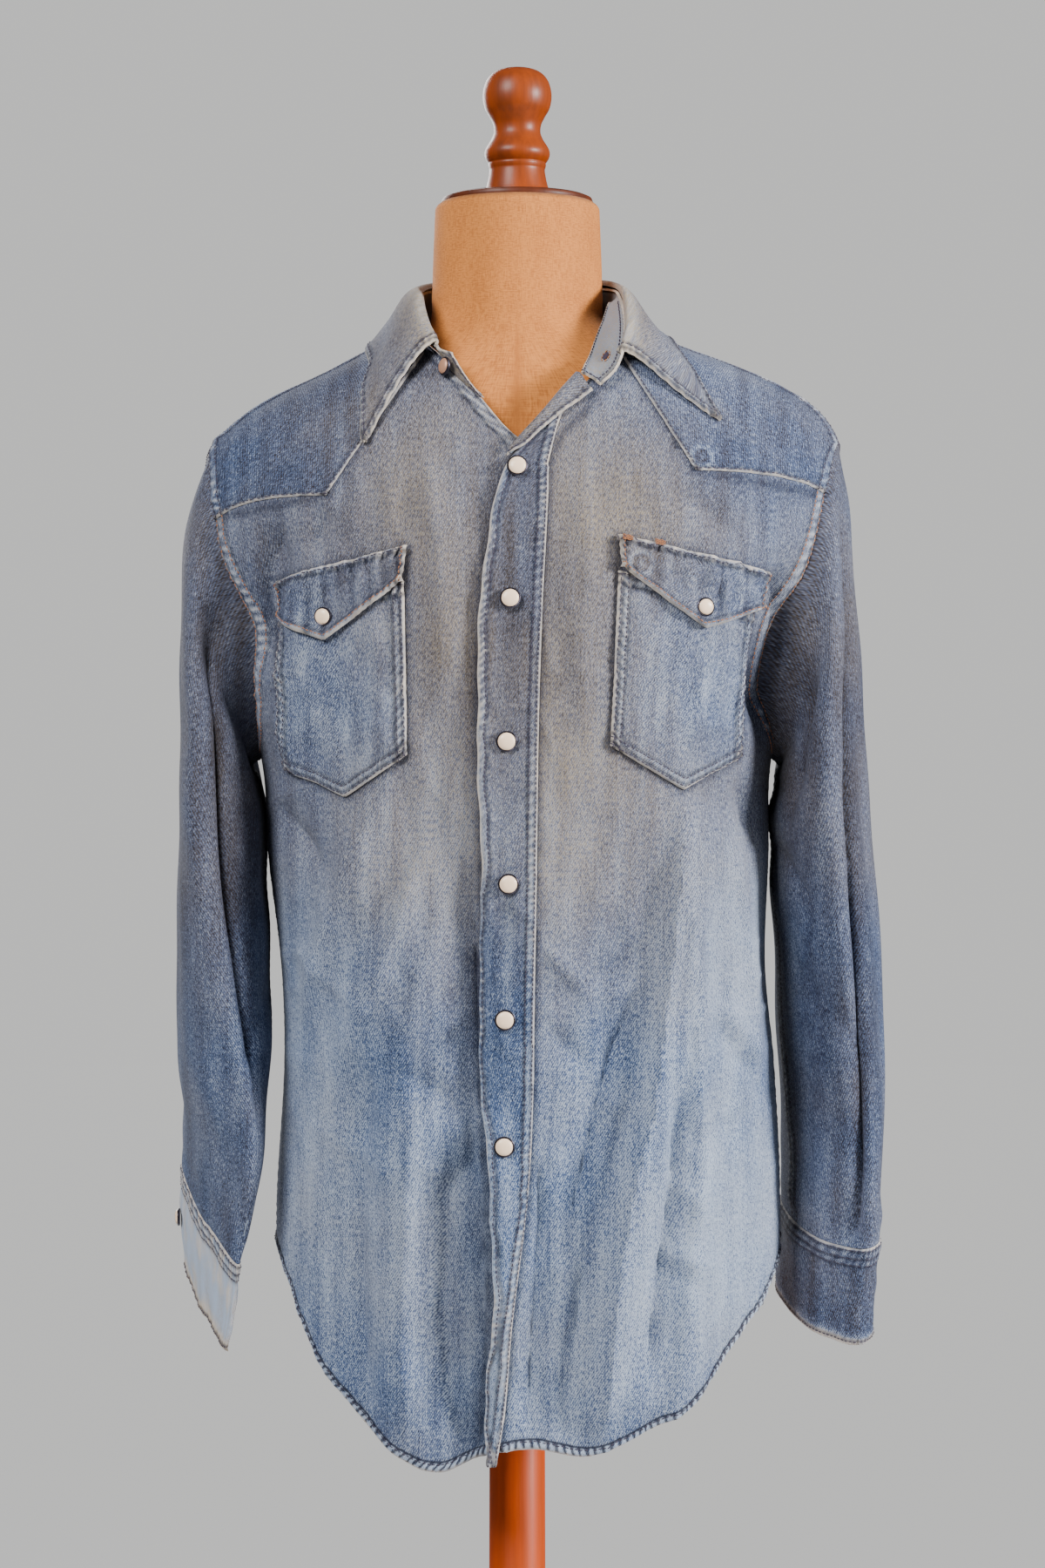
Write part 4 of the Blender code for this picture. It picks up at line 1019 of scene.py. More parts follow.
def wood_group():
    """Straight grain along Z with fine pores."""
    group, given, result = new_group("Varnished wood", [("Wood", COLOUR, PLAIN), ("Grain", COLOUR, PLAIN)],
                                     [("Colour", COLOUR), ("Height", VALUE)])
    place = node(group, "ShaderNodeAttribute", attribute_name="rest_place").outputs["Vector"]
    broad = stretched_noise(group, place, (70.0, 70.0, 5.0), 4.0)
    fine = stretched_noise(group, place, (520.0, 520.0, 14.0), 2.0)
    amount = plus(group, spread(group, broad, 0.38, 0.68), times(group, fine, 0.35))
    group.links.new(blend(group, times(group, amount, 0.7, clamp=True), given["Wood"],
                          given["Grain"]), result["Colour"])
    group.links.new(fine, result["Height"])
    return group


def wood_material(name, group, wood, grain, roughness):
    tree, shader = material(name, roughness, Coat_Weight=0.08, Coat_Roughness=0.30, Specular_IOR_Level=0.25)
    look = node(tree, "ShaderNodeGroup", {"Wood": (*wood, 1.0), "Grain": (*grain, 1.0)}, node_tree=group)
    tree.links.new(look.outputs["Colour"], shader.inputs["Base Color"])
    bumped(tree, shader, look.outputs["Height"], 0.25, 0.0004)


def linen_material(light, dark):
    tree, shader = material("linen_weave", 0.85, Sheen_Weight=0.08, Specular_IOR_Level=0.2)
    place = node(tree, "ShaderNodeUVMap", uv_map="cloth").outputs[0]
    warp = stretched_noise(tree, place, (1100.0, 130.0, 1.0))
    weft = stretched_noise(tree, place, (130.0, 1100.0, 1.0))
    cloud = stretched_noise(tree, place, (22.0, 22.0, 1.0), 4.0)
    weave = plus(tree, warp, weft)
    amount = plus(tree, spread(tree, cloud, 0.3, 0.7, 0.1, 0.6),
                   times(tree, minus(tree, weave, 1.0), 3.2), clamp=True)
    in_seam = times(tree, attribute(tree, "seam"), 0.75)
    colour = blend(tree, in_seam, blend(tree, amount, light, dark), dark)
    tree.links.new(blend(tree, attribute(tree, "soiled"), colour, [0.3 * tone for tone in dark]),
                   shader.inputs["Base Color"])
    bumped(tree, shader, weave, 0.5, 0.0004)


def plain_material(name, colour, roughness, **shader_values):
    _, shader = material(name, roughness, **shader_values)
    shader.inputs["Base Color"].default_value = (*colour, 1.0)


def floor_material(colour):
    """Pale floor that goes over into the plain tone behind it, away from the stand."""
    tree, shader = material("studio_floor", 0.9, Specular_IOR_Level=0.1, Emission_Strength=GLOW)
    away = node(tree, "ShaderNodeVectorMath", {0: node(tree, "ShaderNodeTexCoord").outputs["Object"]},
                operation="LENGTH").outputs["Value"]
    far = spread(tree, away, 0.6, 2.4)
    seen = times(tree, far, node(tree, "ShaderNodeLightPath").outputs["Is Camera Ray"])
    black = (0.0, 0.0, 0.0)
    tree.links.new(blend(tree, far, colour, black), shader.inputs["Base Color"])
    tree.links.new(blend(tree, seen, black, colour), shader.inputs["Emission Color"])


def make_materials():
    tones, stand = colours(), bpy.context.scene.stand_colours
    weave = denim_group()
    denim_material("faded_denim", weave, (tones.deep, tones.middle, tones.pale, tones.tan, tones.worn))
    inside = [Vector(tone).lerp(Vector(tones.pale), 0.55) for tone in (tones.deep, tones.middle, tones.pale)]
    denim_material("denim_reverse", weave, (*inside, tones.tan, tones.worn))
    grain = wood_group()
    wood_material("cap_varnish", grain, stand.turned_wood, stand.turned_grain, 0.42)
    wood_material("pole_varnish", grain, stand.pole_wood, stand.pole_grain, 0.45)
    wood_material("lid_varnish", grain, stand.turned_grain, [0.4 * tone for tone in stand.turned_grain], 0.5)
    linen_material(stand.linen, stand.linen_dark)
    plain_material("seam_thread", tones.thread, 0.7)
    plain_material("rust_thread", tones.rust, 0.7)
    plain_material("pearl_cap", tones.cap, 0.34, Coat_Weight=0.15)
    plain_material("dark_rim", tones.rim, 0.35, Metallic=0.8)
    plain_material("worn_brass", (0.520, 0.270, 0.170), 0.45, Metallic=0.3)
    floor_material(bpy.context.scene.shirt_stage.floor)


# ------------------------------------------------------------------ panels
def body_levels(low, top, coarse, high_seam=True):
    return low + (top - low) * spots(top - low, low=False, high=high_seam, coarse=coarse)


def tail_rows(angle_low, angle_high, hem_at, across, coarse):
    """Rows from a curved hem up to TAIL_Z. The angles of both side edges may change with the level."""
    share = spots(0.15, low=True, high=False, coarse=coarse)[:-1, None]
    z = np.full((len(share), len(across)), TAIL_Z - 0.08)
    for _ in range(4):
        angle = angle_low(z) + (angle_high(z) - angle_low(z)) * across
        hem = hem_at(angle)
        z = hem + (TAIL_Z - hem) * share
    return angle, z


def front_painted_shadow(side, x, z):
    """Painted shadow beside the pieces that lie on a front, and painted shadow in the dip along the placket's
    free edge.
    """
    # painted shadow around the edges of the pocket, flap, yoke and placket
    dark = 0.85 * beside(x, z, outlines(side), 0.0034)
    if side == "left":
        return dark
    low_down, from_placket = ease(0.90, 0.76, z), curve(PLACKET, 1, z) - x
    # painted shadow that the placket's raised free edge casts into the dip beside it
    placket_shadow = (0.55 + 0.50 * low_down) * np.exp(-np.clip(from_placket, 0, 1) / (0.009 + 0.012 * low_down))
    return dark + placket_shadow * ease(1.30, 1.20, z) * (0.75 + 0.25 * ripple(0 * z, z, 0.09, 5))


def make_front(side):
    sign, column = SIDE_SIGN[side], NECK_COLUMN[side]
    across = spots(0.27, edge=0.014)

    def inner(z):
        return angle_at(curve(NECK_EDGE, column, z), z)

    def outer(z):
        return sign * np.where(z < ARMPIT_Z, 90.0 + SIDE_LAP, outer_edge(z, True))

    def hem_at(angle):
        return curve(FRONT_HEM, 1, oval(TORSO, angle, TAIL_Z)[..., 0])

    tail_angle, tail_z = tail_rows(inner, outer, hem_at, across, None)
    z = body_levels(TAIL_Z, NECK_Z - 0.003, None)[:, None] + 0 * across
    angle = inner(z) + (outer(z) - inner(z)) * across
    angle, z = np.concatenate([tail_angle, angle]), np.concatenate([tail_z, z])
    lift = -0.0016 * ease(90.0 - 1.2, 90.0, np.abs(angle)) * ease(ARMPIT_Z + 0.01, ARMPIT_Z - 0.01, z)
    under_yoke = ease(SHOULDER_Z - 0.004, SHOULDER_Z + 0.004, z)
    points = skin(angle, z, lift - 0.0012 * under_yoke * ease(SHOULDER_SEAM - 3, SHOULDER_SEAM, np.abs(angle)))
    from_inner, from_outer, from_hem, _ = reach(points)
    hem = seam_finish(from_hem, from_inner, (HEM_ROW,), 0.0016, 0.0009, 0.00075, sign)
    felled = seam_finish(from_outer, from_hem, ARMHOLE_ROWS, 0.0012, 0.0012, 0.0006, 2 + sign)
    armhole_edge = [part * ease(ARMPIT_Z - 0.004, ARMPIT_Z + 0.008, z)
                    * ease(SHOULDER_Z + 0.002, SHOULDER_Z - 0.004, z) for part in felled]
    rows = (EDGE_ROW, 0.0118) if side == "right" else (EDGE_ROW,)
    neckline = [part * ease(1.320, 1.340, z) for part in seam_finish(from_inner, from_hem, rows, phase=4.0)]
    # the finish's dark part carries painted shadow beside the pieces on this front and along the placket
    finish = together(hem, armhole_edge, neckline, (0 * z, front_painted_shadow(side, points[..., 0], z), 0 * z))
    piece, top, outward = cloth_piece("front_panel_" + side, ["front_" + side], points, finish, flip=sign < 0,
                                      weave=upright(points), hem=(from_hem, from_inner))
    for distance in ARMHOLE_ROWS:
        line, normals = line_at(top, outward, "right", distance)
        keep = (z[:, -1] > ARMPIT_Z + 0.002) & (z[:, -1] < SHOULDER_Z)
        sew(line[keep], normals[keep], thread="rust")
    sew(*line_at(top[:60], outward[:60], "low", HEM_ROW), skip=0.05)
    return piece


def make_back():
    across = spots(0.62, coarse=0.0044)

    def low_edge(z):
        return outer_edge(z, False) + 0 * across

    def high_edge(z):
        return 360 - outer_edge(z, False) + 0 * across

    tail_angle, tail_z = tail_rows(low_edge, high_edge, back_hem, across, 0.0040)
    z = body_levels(TAIL_Z, BACK_YOKE_Z + 0.003, 0.0040)[:, None] + 0 * across
    angle = low_edge(z) + (high_edge(z) - low_edge(z)) * across
    rise = np.clip((z - 1.15) / (BACK_YOKE_Z - 1.15), 0, 1)
    z = z + (back_yoke_seam(angle) - BACK_YOKE_Z) * rise
    angle, z = np.concatenate([tail_angle, angle]), np.concatenate([tail_z, z])
    under_yoke = ease(-0.004, 0.001, z - back_yoke_seam(angle))
    points = skin(angle, z, -0.0017 * under_yoke)
    from_low, from_high, from_hem, _ = reach(points)
    finish = together(seam_finish(from_hem, from_low, (HEM_ROW,), 0.0016, 0.0009, 0.00075, 1.0),
                      *felled_sides(from_low, from_high, from_hem))
    piece, top, outward = cloth_piece("back_panel", ["back"], points, finish, weave=upright(points),
                                      hem=(from_hem, from_low))
    sew_edges(top, outward, ("left", "right"), FELLED_ROWS)
    sew_edges(top[:60], outward[:60], ("low",), (HEM_ROW,))
    return piece


def make_back_yoke():
    across = spots(0.44, coarse=0.0038)
    z = (BACK_YOKE_Z + (NECK_Z - BACK_YOKE_Z) * spots(0.20, coarse=0.0034))[:, None] + 0 * across
    angle = outer_edge(z, False) + (360 - 2 * outer_edge(z, False)) * across
    z = z + (back_yoke_seam(angle) - BACK_YOKE_Z) * np.clip((SHOULDER_Z - z) / (SHOULDER_Z - BACK_YOKE_Z), 0, 1)
    points = skin(angle, z)
    from_low, from_high, from_seam, _ = reach(points)
    finish = together(seam_finish(from_seam, from_low, FELLED_ROWS),
                      *felled_sides(from_low, from_high, from_seam))
    piece, top, outward = cloth_piece("back_yoke_panel", ["back_yoke"], points, finish, shade=(-0.06, 0.0))
    sew_edges(top, outward, ("left", "right", "low"), FELLED_ROWS)
    return piece


def make_front_yoke(side):
    """Pointed western yoke, laid on the front from its lower edge up to the shoulder seam."""
    sign, column = SIDE_SIGN[side], NECK_COLUMN[side]
    corner_x, corner_z = YOKE_CORNER[side]
    inner_x, inner_z = YOKE_INNER_TOP[side]
    across = spots(0.10, coarse=0.0028, edge=0.014)
    z = (corner_z + (NECK_Z - 0.012 - corner_z) * spots(0.12, high=False, coarse=0.0028))[:, None] + 0 * across
    slope = (inner_x - corner_x) / (inner_z - corner_z)
    neck = sign * curve(NECK_EDGE, column, z) + 0.009
    start = angle_at(sign * np.maximum(sign * (corner_x + slope * (z - corner_z)), neck), z)
    drop = (YOKE_END_Z[side] - corner_z) * across**2.5
    z = z + drop * np.clip((SHOULDER_Z - z) / (SHOULDER_Z - corner_z), 0, 1)
    angle = start + (sign * outer_edge(z, True) - start) * across
    points = skin(angle, z, LAYER + 0.0003)
    from_inner, from_outer, from_low, _ = reach(points)
    finish = together(seam_finish(from_inner, from_low, (EDGE_ROW,), phase=1.0),
                      seam_finish(from_low, from_inner, (EDGE_ROW,)),
                      seam_finish(from_outer, from_low, ARMHOLE_ROWS, phase=2 + sign))
    # the yoke on the wearer's left is painted paler than the one on the right, as painted light
    piece, top, outward = cloth_piece("front_yoke_panel_" + side, ["front_yoke_" + side], points, finish,
                                      flip=sign < 0, shade=(-0.09 + 0.03 * sign, -0.12))
    sew_edges(top, outward, ("left", "low"), (EDGE_ROW,))
    sew_edges(top, outward, ("right",), ARMHOLE_ROWS)
    return piece


def make_placket():
    across = spots(0.040, coarse=0.0022)
    along = spots(0.80, coarse=0.0026)
    z = (PLACKET[-1][0] + (PLACKET[0][0] - PLACKET[-1][0]) * along)[:, None] + 0 * across
    wave = 0.0004 * np.sin(z * 170) + 0.0006 * np.sin(z * 61)
    right = curve(PLACKET, 1, z) + wave
    left = np.where(z > 1.318, curve(PLACKET_TOP, 1, z), curve(PLACKET, 2, z))
    x = right + (left - right) * across
    open_edge = np.exp(-((x - right) / 0.012) ** 2) * ease(1.330, 1.300, z)
    flare = 0.6 + 0.5 * ease(0.95, 0.70, z) + 0.35 * np.sin(z * 62) * ease(1.10, 0.95, z)
    lift = LAYER + 0.0005 + 0.0042 * open_edge * flare
    points = on_front(x, z, lift)
    from_right, from_left, from_low, _ = reach(points)
    middle = np.exp(-((across - 0.52) / 0.26) ** 4) * (0.75 + 0.25 * ripple(0 * z, z, 0.10, 7))
    right_row, left_rows = 0.0060, (0.0018, 0.0070)
    finish = together(seam_finish(from_right, from_low, (right_row,), 0.0012, 0.0007, 0.00005),
                      seam_finish(from_left, from_low, left_rows, 0.0010, 0.0007, 0.00015, 2.0),
                      seam_finish(from_low, from_right, (right_row,)),
                      (0 * z, 0.42 * middle * ease(0.84, 0.90, z), 0.25 * ease(0.80, 0.72, z) + 0 * middle))
    shade = (-0.08 + 0.05 * ripple(x, z * 0.2, 0.020, 44), -0.28)
    piece, top, outward = cloth_piece("placket_strip", ["placket"], points, finish, wall=0.0018, shade=shade)
    sew_edges(top, outward, ("left",), (right_row,))
    sew_edges(top, outward, ("right",), left_rows)
    return piece


def make_turned_edge():
    """Top of the placket, rolled over at the opening so that its underside shows."""
    along, across = np.linspace(0, 1, 33), np.linspace(0, 1, 13)
    roll_x, roll_z, free_x, free_z = (curve(TURNED_EDGE, k, along)[:, None] for k in range(1, 5))
    x, z = roll_x + (free_x - roll_x) * across, roll_z + (free_z - roll_z) * across
    lift = LAYER * 2 + 0.0012 + 0.0026 * np.exp(-((across - 0.22) / 0.25) ** 2)
    lift = lift - 0.0030 * np.exp(-(across / 0.10) ** 2)
    lift = lift + 0.0008 * np.sin(along * 21)[:, None] * across
    points = on_front(x, z, lift)
    from_roll, from_free, from_low, _ = reach(points)
    finish = together(seam_finish(from_free, from_low, (0.0030,), 0.0004, 0.0012, 0.0003),
                      (0 * lift, 0 * lift, 0.5 * np.exp(-(from_roll / 0.002) ** 2)))
    piece, top, outward = cloth_piece("turned_edge", [], points, finish, wall=0.0016, shade=(-0.02, 0.10))
    sew(*line_at(top, outward, "right", 0.0030))
    return piece


def patch_grid(corners, across, along):
    """Points (x, z) of a five-cornered patch: two top corners, low inner side, tip, low outer side."""
    top_a, top_b, low_b, tip, low_a = (np.array(corner) for corner in corners)
    tip_share = (tip[0] - low_a[0]) / (low_b[0] - low_a[0])
    first, second = across / tip_share, (across - tip_share) / (1 - tip_share)
    low = np.where((across < tip_share)[:, None], low_a + (tip - low_a) * first[:, None],
                   tip + (low_b - tip) * second[:, None])
    top = top_a + (top_b - top_a) * across[:, None]
    flat = low + (top - low) * along[:, None, None]
    return flat[..., 0], flat[..., 1]


def make_patch(name, node_name, corners, lift, wall, shade, rows, seed):
    """Pocket or flap: a patch laid on a front with stitched edges and a soft buckle."""
    flap = "flap" in name
    across, along = spots(0.10, coarse=0.0022), spots(0.05 if flap else 0.12, coarse=0.0022)
    x, z = patch_grid(corners, across, along)
    edge_a, edge_b, low, top = reach(on_front(x, z))
    buckle = np.minimum(np.minimum(edge_a, edge_b), low) / 0.02
    wrinkle = ripple(x * 2.6, z * 0.9, 0.034, seed) if flap else ripple(x * 1.8, z * 0.8, 0.040, seed)
    pleats = crumple(x * 2.4, z * 0.7, 0.045, seed + 5)
    swell = 0.0009 + (0.0016 if flap else 0.0010) * wrinkle + 0.0034 * pleats * flap
    buckle = np.clip(buckle, 0, 1) * np.maximum(swell, 0.0)
    snap_x, snap_z = FLAP_SNAPS[node_name.split("_")[1]]
    pressed = 0.011 if flap else 0.036
    buckle = buckle * (1 - np.exp(-(np.hypot(x - snap_x, z - snap_z) / pressed) ** 4))
    points = on_front(x, z, lift + buckle + 0.0022 * flap * np.exp(-low / 0.012))
    puff = 0.0015 if flap else 0.0011
    sides = ((edge_a, low), (edge_b, low), (low, edge_a), (top, edge_a))
    edges = [seam_finish(gap, run, rows, 0.0014, puff, 0.0008, phase) for phase, (gap, run) in enumerate(sides)]
    worn = 0.30 * pleats * flap + 0.18 * np.maximum(ripple(x * 2.0, z * 0.5, 0.030, seed + 2), 0)
    # painted shadow in the troughs of the flap's wrinkles
    trough_shadow = 0.55 * np.maximum(-wrinkle, 0) * flap
    piece, surface, outward = cloth_piece(name, [node_name], points, together(*edges, (0 * x, trough_shadow, worn)),
                                          wall=wall, shade=shade)
    sew_edges(surface, outward, ("left", "right", "low"), rows, "rust" if flap else "thread")
    sew_edges(surface, outward, ("high",), rows[:1])
    return piece


def make_tacks():
    """Short bars of dense rust stitches at the upper corner of the left flap."""
    half_bar, stagger, pitch, slope = 0.0034, 0.0016, 0.0005, 0.15
    lift = 2 * LAYER + 0.0074
    for middle_x, middle_z in BAR_TACKS:
        for step in range(7):
            x = middle_x + np.linspace(-half_bar, half_bar, 5) + stagger * (step % 2)
            z = middle_z - 0.0024 + step * pitch - slope * (x - middle_x)
            line = on_front(x, z, lift)
            sew(line, unit(on_front(x, z, lift + 0.01) - line), thread="rust")


def collar_rows(share):
    """Seam, fold and free edge of the collar at shares of the way round."""
    rows = [(index / (len(COLLAR) - 1), *row) for index, row in enumerate(COLLAR)]
    columns = [curve(rows, k, share) for k in range(1, 9)]
    seam_turn, seam_z, fold_x, fold_y, fold_z, leaf_turn, leaf_z, lift = columns
    return (skin(seam_turn, seam_z, 0.0022), np.stack([fold_x, fold_y, fold_z], -1),
            skin(leaf_turn, leaf_z, lift * 0.75))


def rounded_corner(points, radius):
    """A grid of points with the corner of its last row and first column rounded off."""
    across, along = steps_between(points, 1), steps_between(points[::-1], 0)[::-1]
    a, b = np.clip(1 - across / radius, 0, 1), np.clip(1 - along / radius, 0, 1)
    row, column = np.abs(along[:, 0] - radius).argmin(), np.abs(across[-1] - radius).argmin()
    share = np.where(a * b > 0, np.maximum(a, b) / np.maximum(np.hypot(a, b), 1e-9), 1.0)
    centre = points[row, column]
    return centre + (points - centre) * share[..., None]


def collar_lines():
    """Shares of the way round the collar, with its seam, fold and free edge, the level direction away from the
    neck, and how near it comes to the neck on the wearer's right."""
    around = spots(0.52, coarse=0.0030)
    seam, fold, edge = collar_rows(around)
    near_neck = np.exp(-((around - 0.27) / 0.09) ** 2)[:, None]
    return around, seam, fold, edge, unit((edge - fold) * (1, 1, 0)), near_neck


def make_collar_stand():
    around, seam, fold, _, out, near_neck = collar_lines()
    base, top = seam.copy(), fold - out * 0.003 * near_neck
    for rows, ends in ((BAND_LEFT, around > BAND_LEFT[0][0]), (BAND_RIGHT, around < BAND_RIGHT[-1][0])):
        ease_in = ends * ease(rows[0][0] if rows is BAND_LEFT else rows[-1][0], rows[1][0], around)
        for k in range(3):
            base[:, k] += (curve(rows, k + 1, around) - base[:, k]) * ease_in
            top[:, k] += (curve(rows, k + 4, around) - top[:, k]) * ease_in
    rise = spots(0.034, coarse=0.0026)
    sag = np.sin(math.pi * rise)[:, None, None]
    stand = base + (top - base) * rise[:, None, None] + out * (0.0016 * sag)
    left, right, low, high = reach(stand)
    inner_row = 0.7 * np.exp(-((high - BAND_TOP_ROWS[1]) / 0.0009) ** 2)
    inner_row = inner_row * ease(BAND_OPEN, BAND_OPEN + 0.04, around)
    finish = together(seam_finish(left, low, (EDGE_ROW,)), seam_finish(right, low, (EDGE_ROW,)),
                      seam_finish(low, left, (EDGE_ROW,)), seam_finish(high, left, ()),
                      (0 * high, inner_row, 0 * high))
    shade = (0.12 * ripple(low, left, 0.02, 61) - 0.06, 0.42)
    piece, surface, outward = cloth_piece("collar_band", ["collar_stand"], stand, finish, wall=0.0018,
                                          flip=True, shade=shade)
    sew_edges(surface, outward, ("left", "right", "low"), (EDGE_ROW,))
    inner_rows = [("low", EDGE_ROW), *(("high", distance) for distance in BAND_TOP_ROWS), ("right", 0.0030)]
    for edge, distance in inner_rows:
        line, normals = line_at(surface, outward, edge, distance)
        keep = np.ones(len(line), bool) if edge == "right" else around > BAND_OPEN
        sew(line[keep] - normals[keep] * BAND_THROUGH, -normals[keep])
    make_buttonhole(surface, -outward, around, rise)
    return piece


def make_collar_leaf():
    """Leaf that rolls over the fold: up inside it, over its crown, then down to the free edge."""
    around, _, fold, edge, out, near_neck = collar_lines()
    crown = fold + (0, 0, 0.0042) - out * 0.0004
    inside = fold + (0, 0, 0.0014) - out * (0.0020 + 0.003 * near_neck)
    bulge = 1 - 0.7 * np.exp(-((around - 0.26) / 0.10) ** 2) - 1.35 * np.exp(-((around - 0.74) / 0.10) ** 2)
    bulge = bulge[:, None]
    shoulder = fold + out * (0.0050 + 0.0020 * bulge) + (edge - fold) * 0.08 + (0, 0, 0.0010)
    belly = fold + (edge - fold) * 0.5 + out * (0.0050 * bulge) + (0, 0, 0.0030) * bulge
    belly = belly + np.array((-0.0015, -0.0010, -0.0040)) * ease(0.88, 1.0, around)[:, None]
    stations = np.stack([inside, crown, shoulder, belly, edge])
    drop = np.concatenate([np.linspace(0, 2, 15)[:-1], 2 + 2 * spots(0.045, low=False, coarse=0.0026)])
    leaf = loft(stations, drop)
    for ends in (np.s_[:, :], np.s_[:, ::-1]):
        leaf[ends] = rounded_corner(leaf[ends], 0.0085)
    left, right, low, top = reach(leaf)
    rub = np.exp(-((low - 0.006) / 0.006) ** 2)
    finishes = [seam_finish(distance, run, (0.0019, 0.0066), rope=0.0006)
                for distance, run in ((left, low), (right, low), (top, left))]
    rolled = np.exp(-(low / 0.024) ** 2)
    finish = together(*finishes, (0 * low, 0 * low, 0.55 * rub))
    piece, surface, outward = cloth_piece("collar_fold", ["collar_leaf"], leaf, finish, wall=0.0018,
                                          shade=(0.05 * rolled, 0.12 + 0.62 * rolled))
    sew_edges(surface, outward, ("left", "right", "high"), (0.0062,))
    return piece


def make_buttonhole(surface, inward, around, rise):
    """Slit ringed with stitches near the open end of the band, where a dark sheet stands for painted shade in
    the opening.
    """
    row, column = np.abs(rise - 0.45).argmin(), np.abs(around - 0.970).argmin()
    facing = inward[row, column]
    centre = surface[row, column] + facing * BAND_THROUGH
    along = unit(surface[row, column + 1] - surface[row, column - 1])
    aside = np.cross(facing, along)
    turn = np.linspace(0, 2 * math.pi, 33)[:, None]
    half_long, half_wide = 0.0058, 0.0026
    ring = centre + along * half_long * np.cos(turn) + aside * half_wide * np.sin(turn)
    sew(ring, np.broadcast_to(facing, ring.shape), thread="rust")
    bm = bmesh.new()
    # dark sheet for the painted shade in the slit
    slit = [bm.verts.new(centre + (point - centre) * 0.72 + facing * 0.0003) for point in ring[:-1]]
    bm.faces.new(slit if np.dot(np.cross(ring[8] - ring[0], ring[16] - ring[8]), facing) > 0 else slit[::-1])
    mesh = finished_mesh("collar_buttonhole", bm)
    hand_over(new_object("collar_buttonhole", mesh, "seam_thread"), "denim")


def ring_points(row, turn, sign):
    """Points of a sleeve ring. The turn runs from the front edge, 90 at the outer edge."""
    outer_x, outer_z, inner_x, inner_z, front, back, drop, skew = row
    out, ahead = np.sin(np.radians(turn + skew)), np.cos(np.radians(turn))
    x = (outer_x + inner_x) / 2 + (outer_x - inner_x) / 2 * signed_power(out, 0.86)
    z = (outer_z + inner_z) / 2 + (outer_z - inner_z) / 2 * out - drop * ahead
    y = (front + back) / 2 - (back - front) / 2 * signed_power(ahead, 0.9)
    return np.stack([sign * x, y, z], -1)


def sleeve_relief(folds, ring, turn, girth):
    """Height of a sleeve's creases on the map of rings and turns, with the turn measured along the cloth."""
    reach_of_ring, reach_of_turn = 0.072, girth / 360
    flat = [(turn_a * reach_of_turn, ring_a * reach_of_ring, turn_b * reach_of_turn, ring_b * reach_of_ring,
             width, depth, 0.0) for ring_a, turn_a, ring_b, turn_b, width, depth in folds]
    total = 0.0
    for shift in (-360, 0, 360):
        total = total + fold_relief(flat, (turn + shift) * reach_of_turn, ring * reach_of_ring)
    return total


def sleeve_painted_shadow(side, angle, z):
    """Painted shadow in the bands that run down a sleeve."""
    shadow_dim = 0 * z
    for foot_turn, width, low, high, amount, top_turn in SLEEVE_PAINTED_SHADOWS[side]:
        centre = foot_turn + (top_turn - foot_turn) * np.clip((z - low) / (high - low), 0, 1)
        away = np.mod(angle - centre + 180, 360) - 180
        shadow_dim = shadow_dim + (amount * np.exp(-(away / width) ** 2) * ease(low - 0.06, low + 0.06, z)
                     * ease(high + 0.06, high - 0.06, z))
    return shadow_dim


def make_sleeve(side):
    sign, rows = SIDE_SIGN[side], SLEEVES[side]
    turn = np.linspace(0, 360, SLEEVE_COLUMNS + 1)
    head_angle, head_z = armhole(turn)
    ahead = np.cos(np.radians(turn))
    seam = skin(sign * head_angle, head_z, -0.0006)
    tucked = skin(sign * (head_angle - 1.4 * ahead), head_z + 0.003 * np.sin(np.radians(turn)), -0.0026)
    stations = np.stack([tucked, seam] + [ring_points(row, turn, sign) for row in rows])
    down = np.concatenate([np.linspace(0, 1, 4)[:-1], np.linspace(1, len(stations) - 1, 168)])[::-1]
    points = loft(stations, down)
    points[:, -1] = points[:, 0]
    ring = (down - 1)[:, None] - 0.5
    free = ease(0.2, 1.2, down - 1)[:, None] * ease(len(rows) + 0.05, len(rows) - 0.5, down - 1)[:, None]
    relief = sleeve_relief(SLEEVE_FOLDS[side], ring, turn[None, :], SLEEVE_GIRTH) * free
    closing = np.abs(turn - 180) / 180
    soft = 0.0012 * ripple(np.sin(np.radians(turn))[None] * 0.08, down[:, None] * 0.07, 0.10, 21 + sign) * free
    flat_angle = turn[None, :] + 0 * down[:, None]
    from_cuff = steps_between(points, 0)
    seam_out = np.abs(np.mod(flat_angle - SLEEVE_SEAM + 180, 360) - 180) * SLEEVE_GIRTH / 360
    felled = [part * free for part in seam_finish(seam_out + 0.0011, from_cuff, FELLED_ROWS, 0.0, 0.0007)]
    head = seam_finish(from_cuff[-1:] - from_cuff, flat_angle * SLEEVE_GIRTH / 360, ())
    # painted shadow down the sleeve, on its inner side by the body and in its valleys
    shadow_dim = sleeve_painted_shadow(side, flat_angle, points[..., 2])
    finish = together((relief + soft, 0.8 * shadow_dim, 0 * soft), felled, head)
    # paler where the creases rise and darker in their troughs: partly the wear that ridges take, partly painted
    # shade
    shade = (-0.08 + 16 * (relief + soft) - 0.10 * closing, 0.05)
    column = int(round(SLEEVE_SEAM / 360 * SLEEVE_COLUMNS))
    around = steps_between(points, 1)
    around = around - around[:, column:column + 1] + np.where(turn <= SLEEVE_SEAM, around[:, -1:], 0)
    piece, surface, outward = cloth_piece("sleeve_tube_" + side, ["sleeve_" + side], points, finish,
                                          flip=sign < 0, closed=True, shade=shade,
                                          weave=(around, points[..., 2]))
    for offset in (0, 3):
        sew(surface[:-8, column + offset], outward[:-8, column + offset])
    return piece


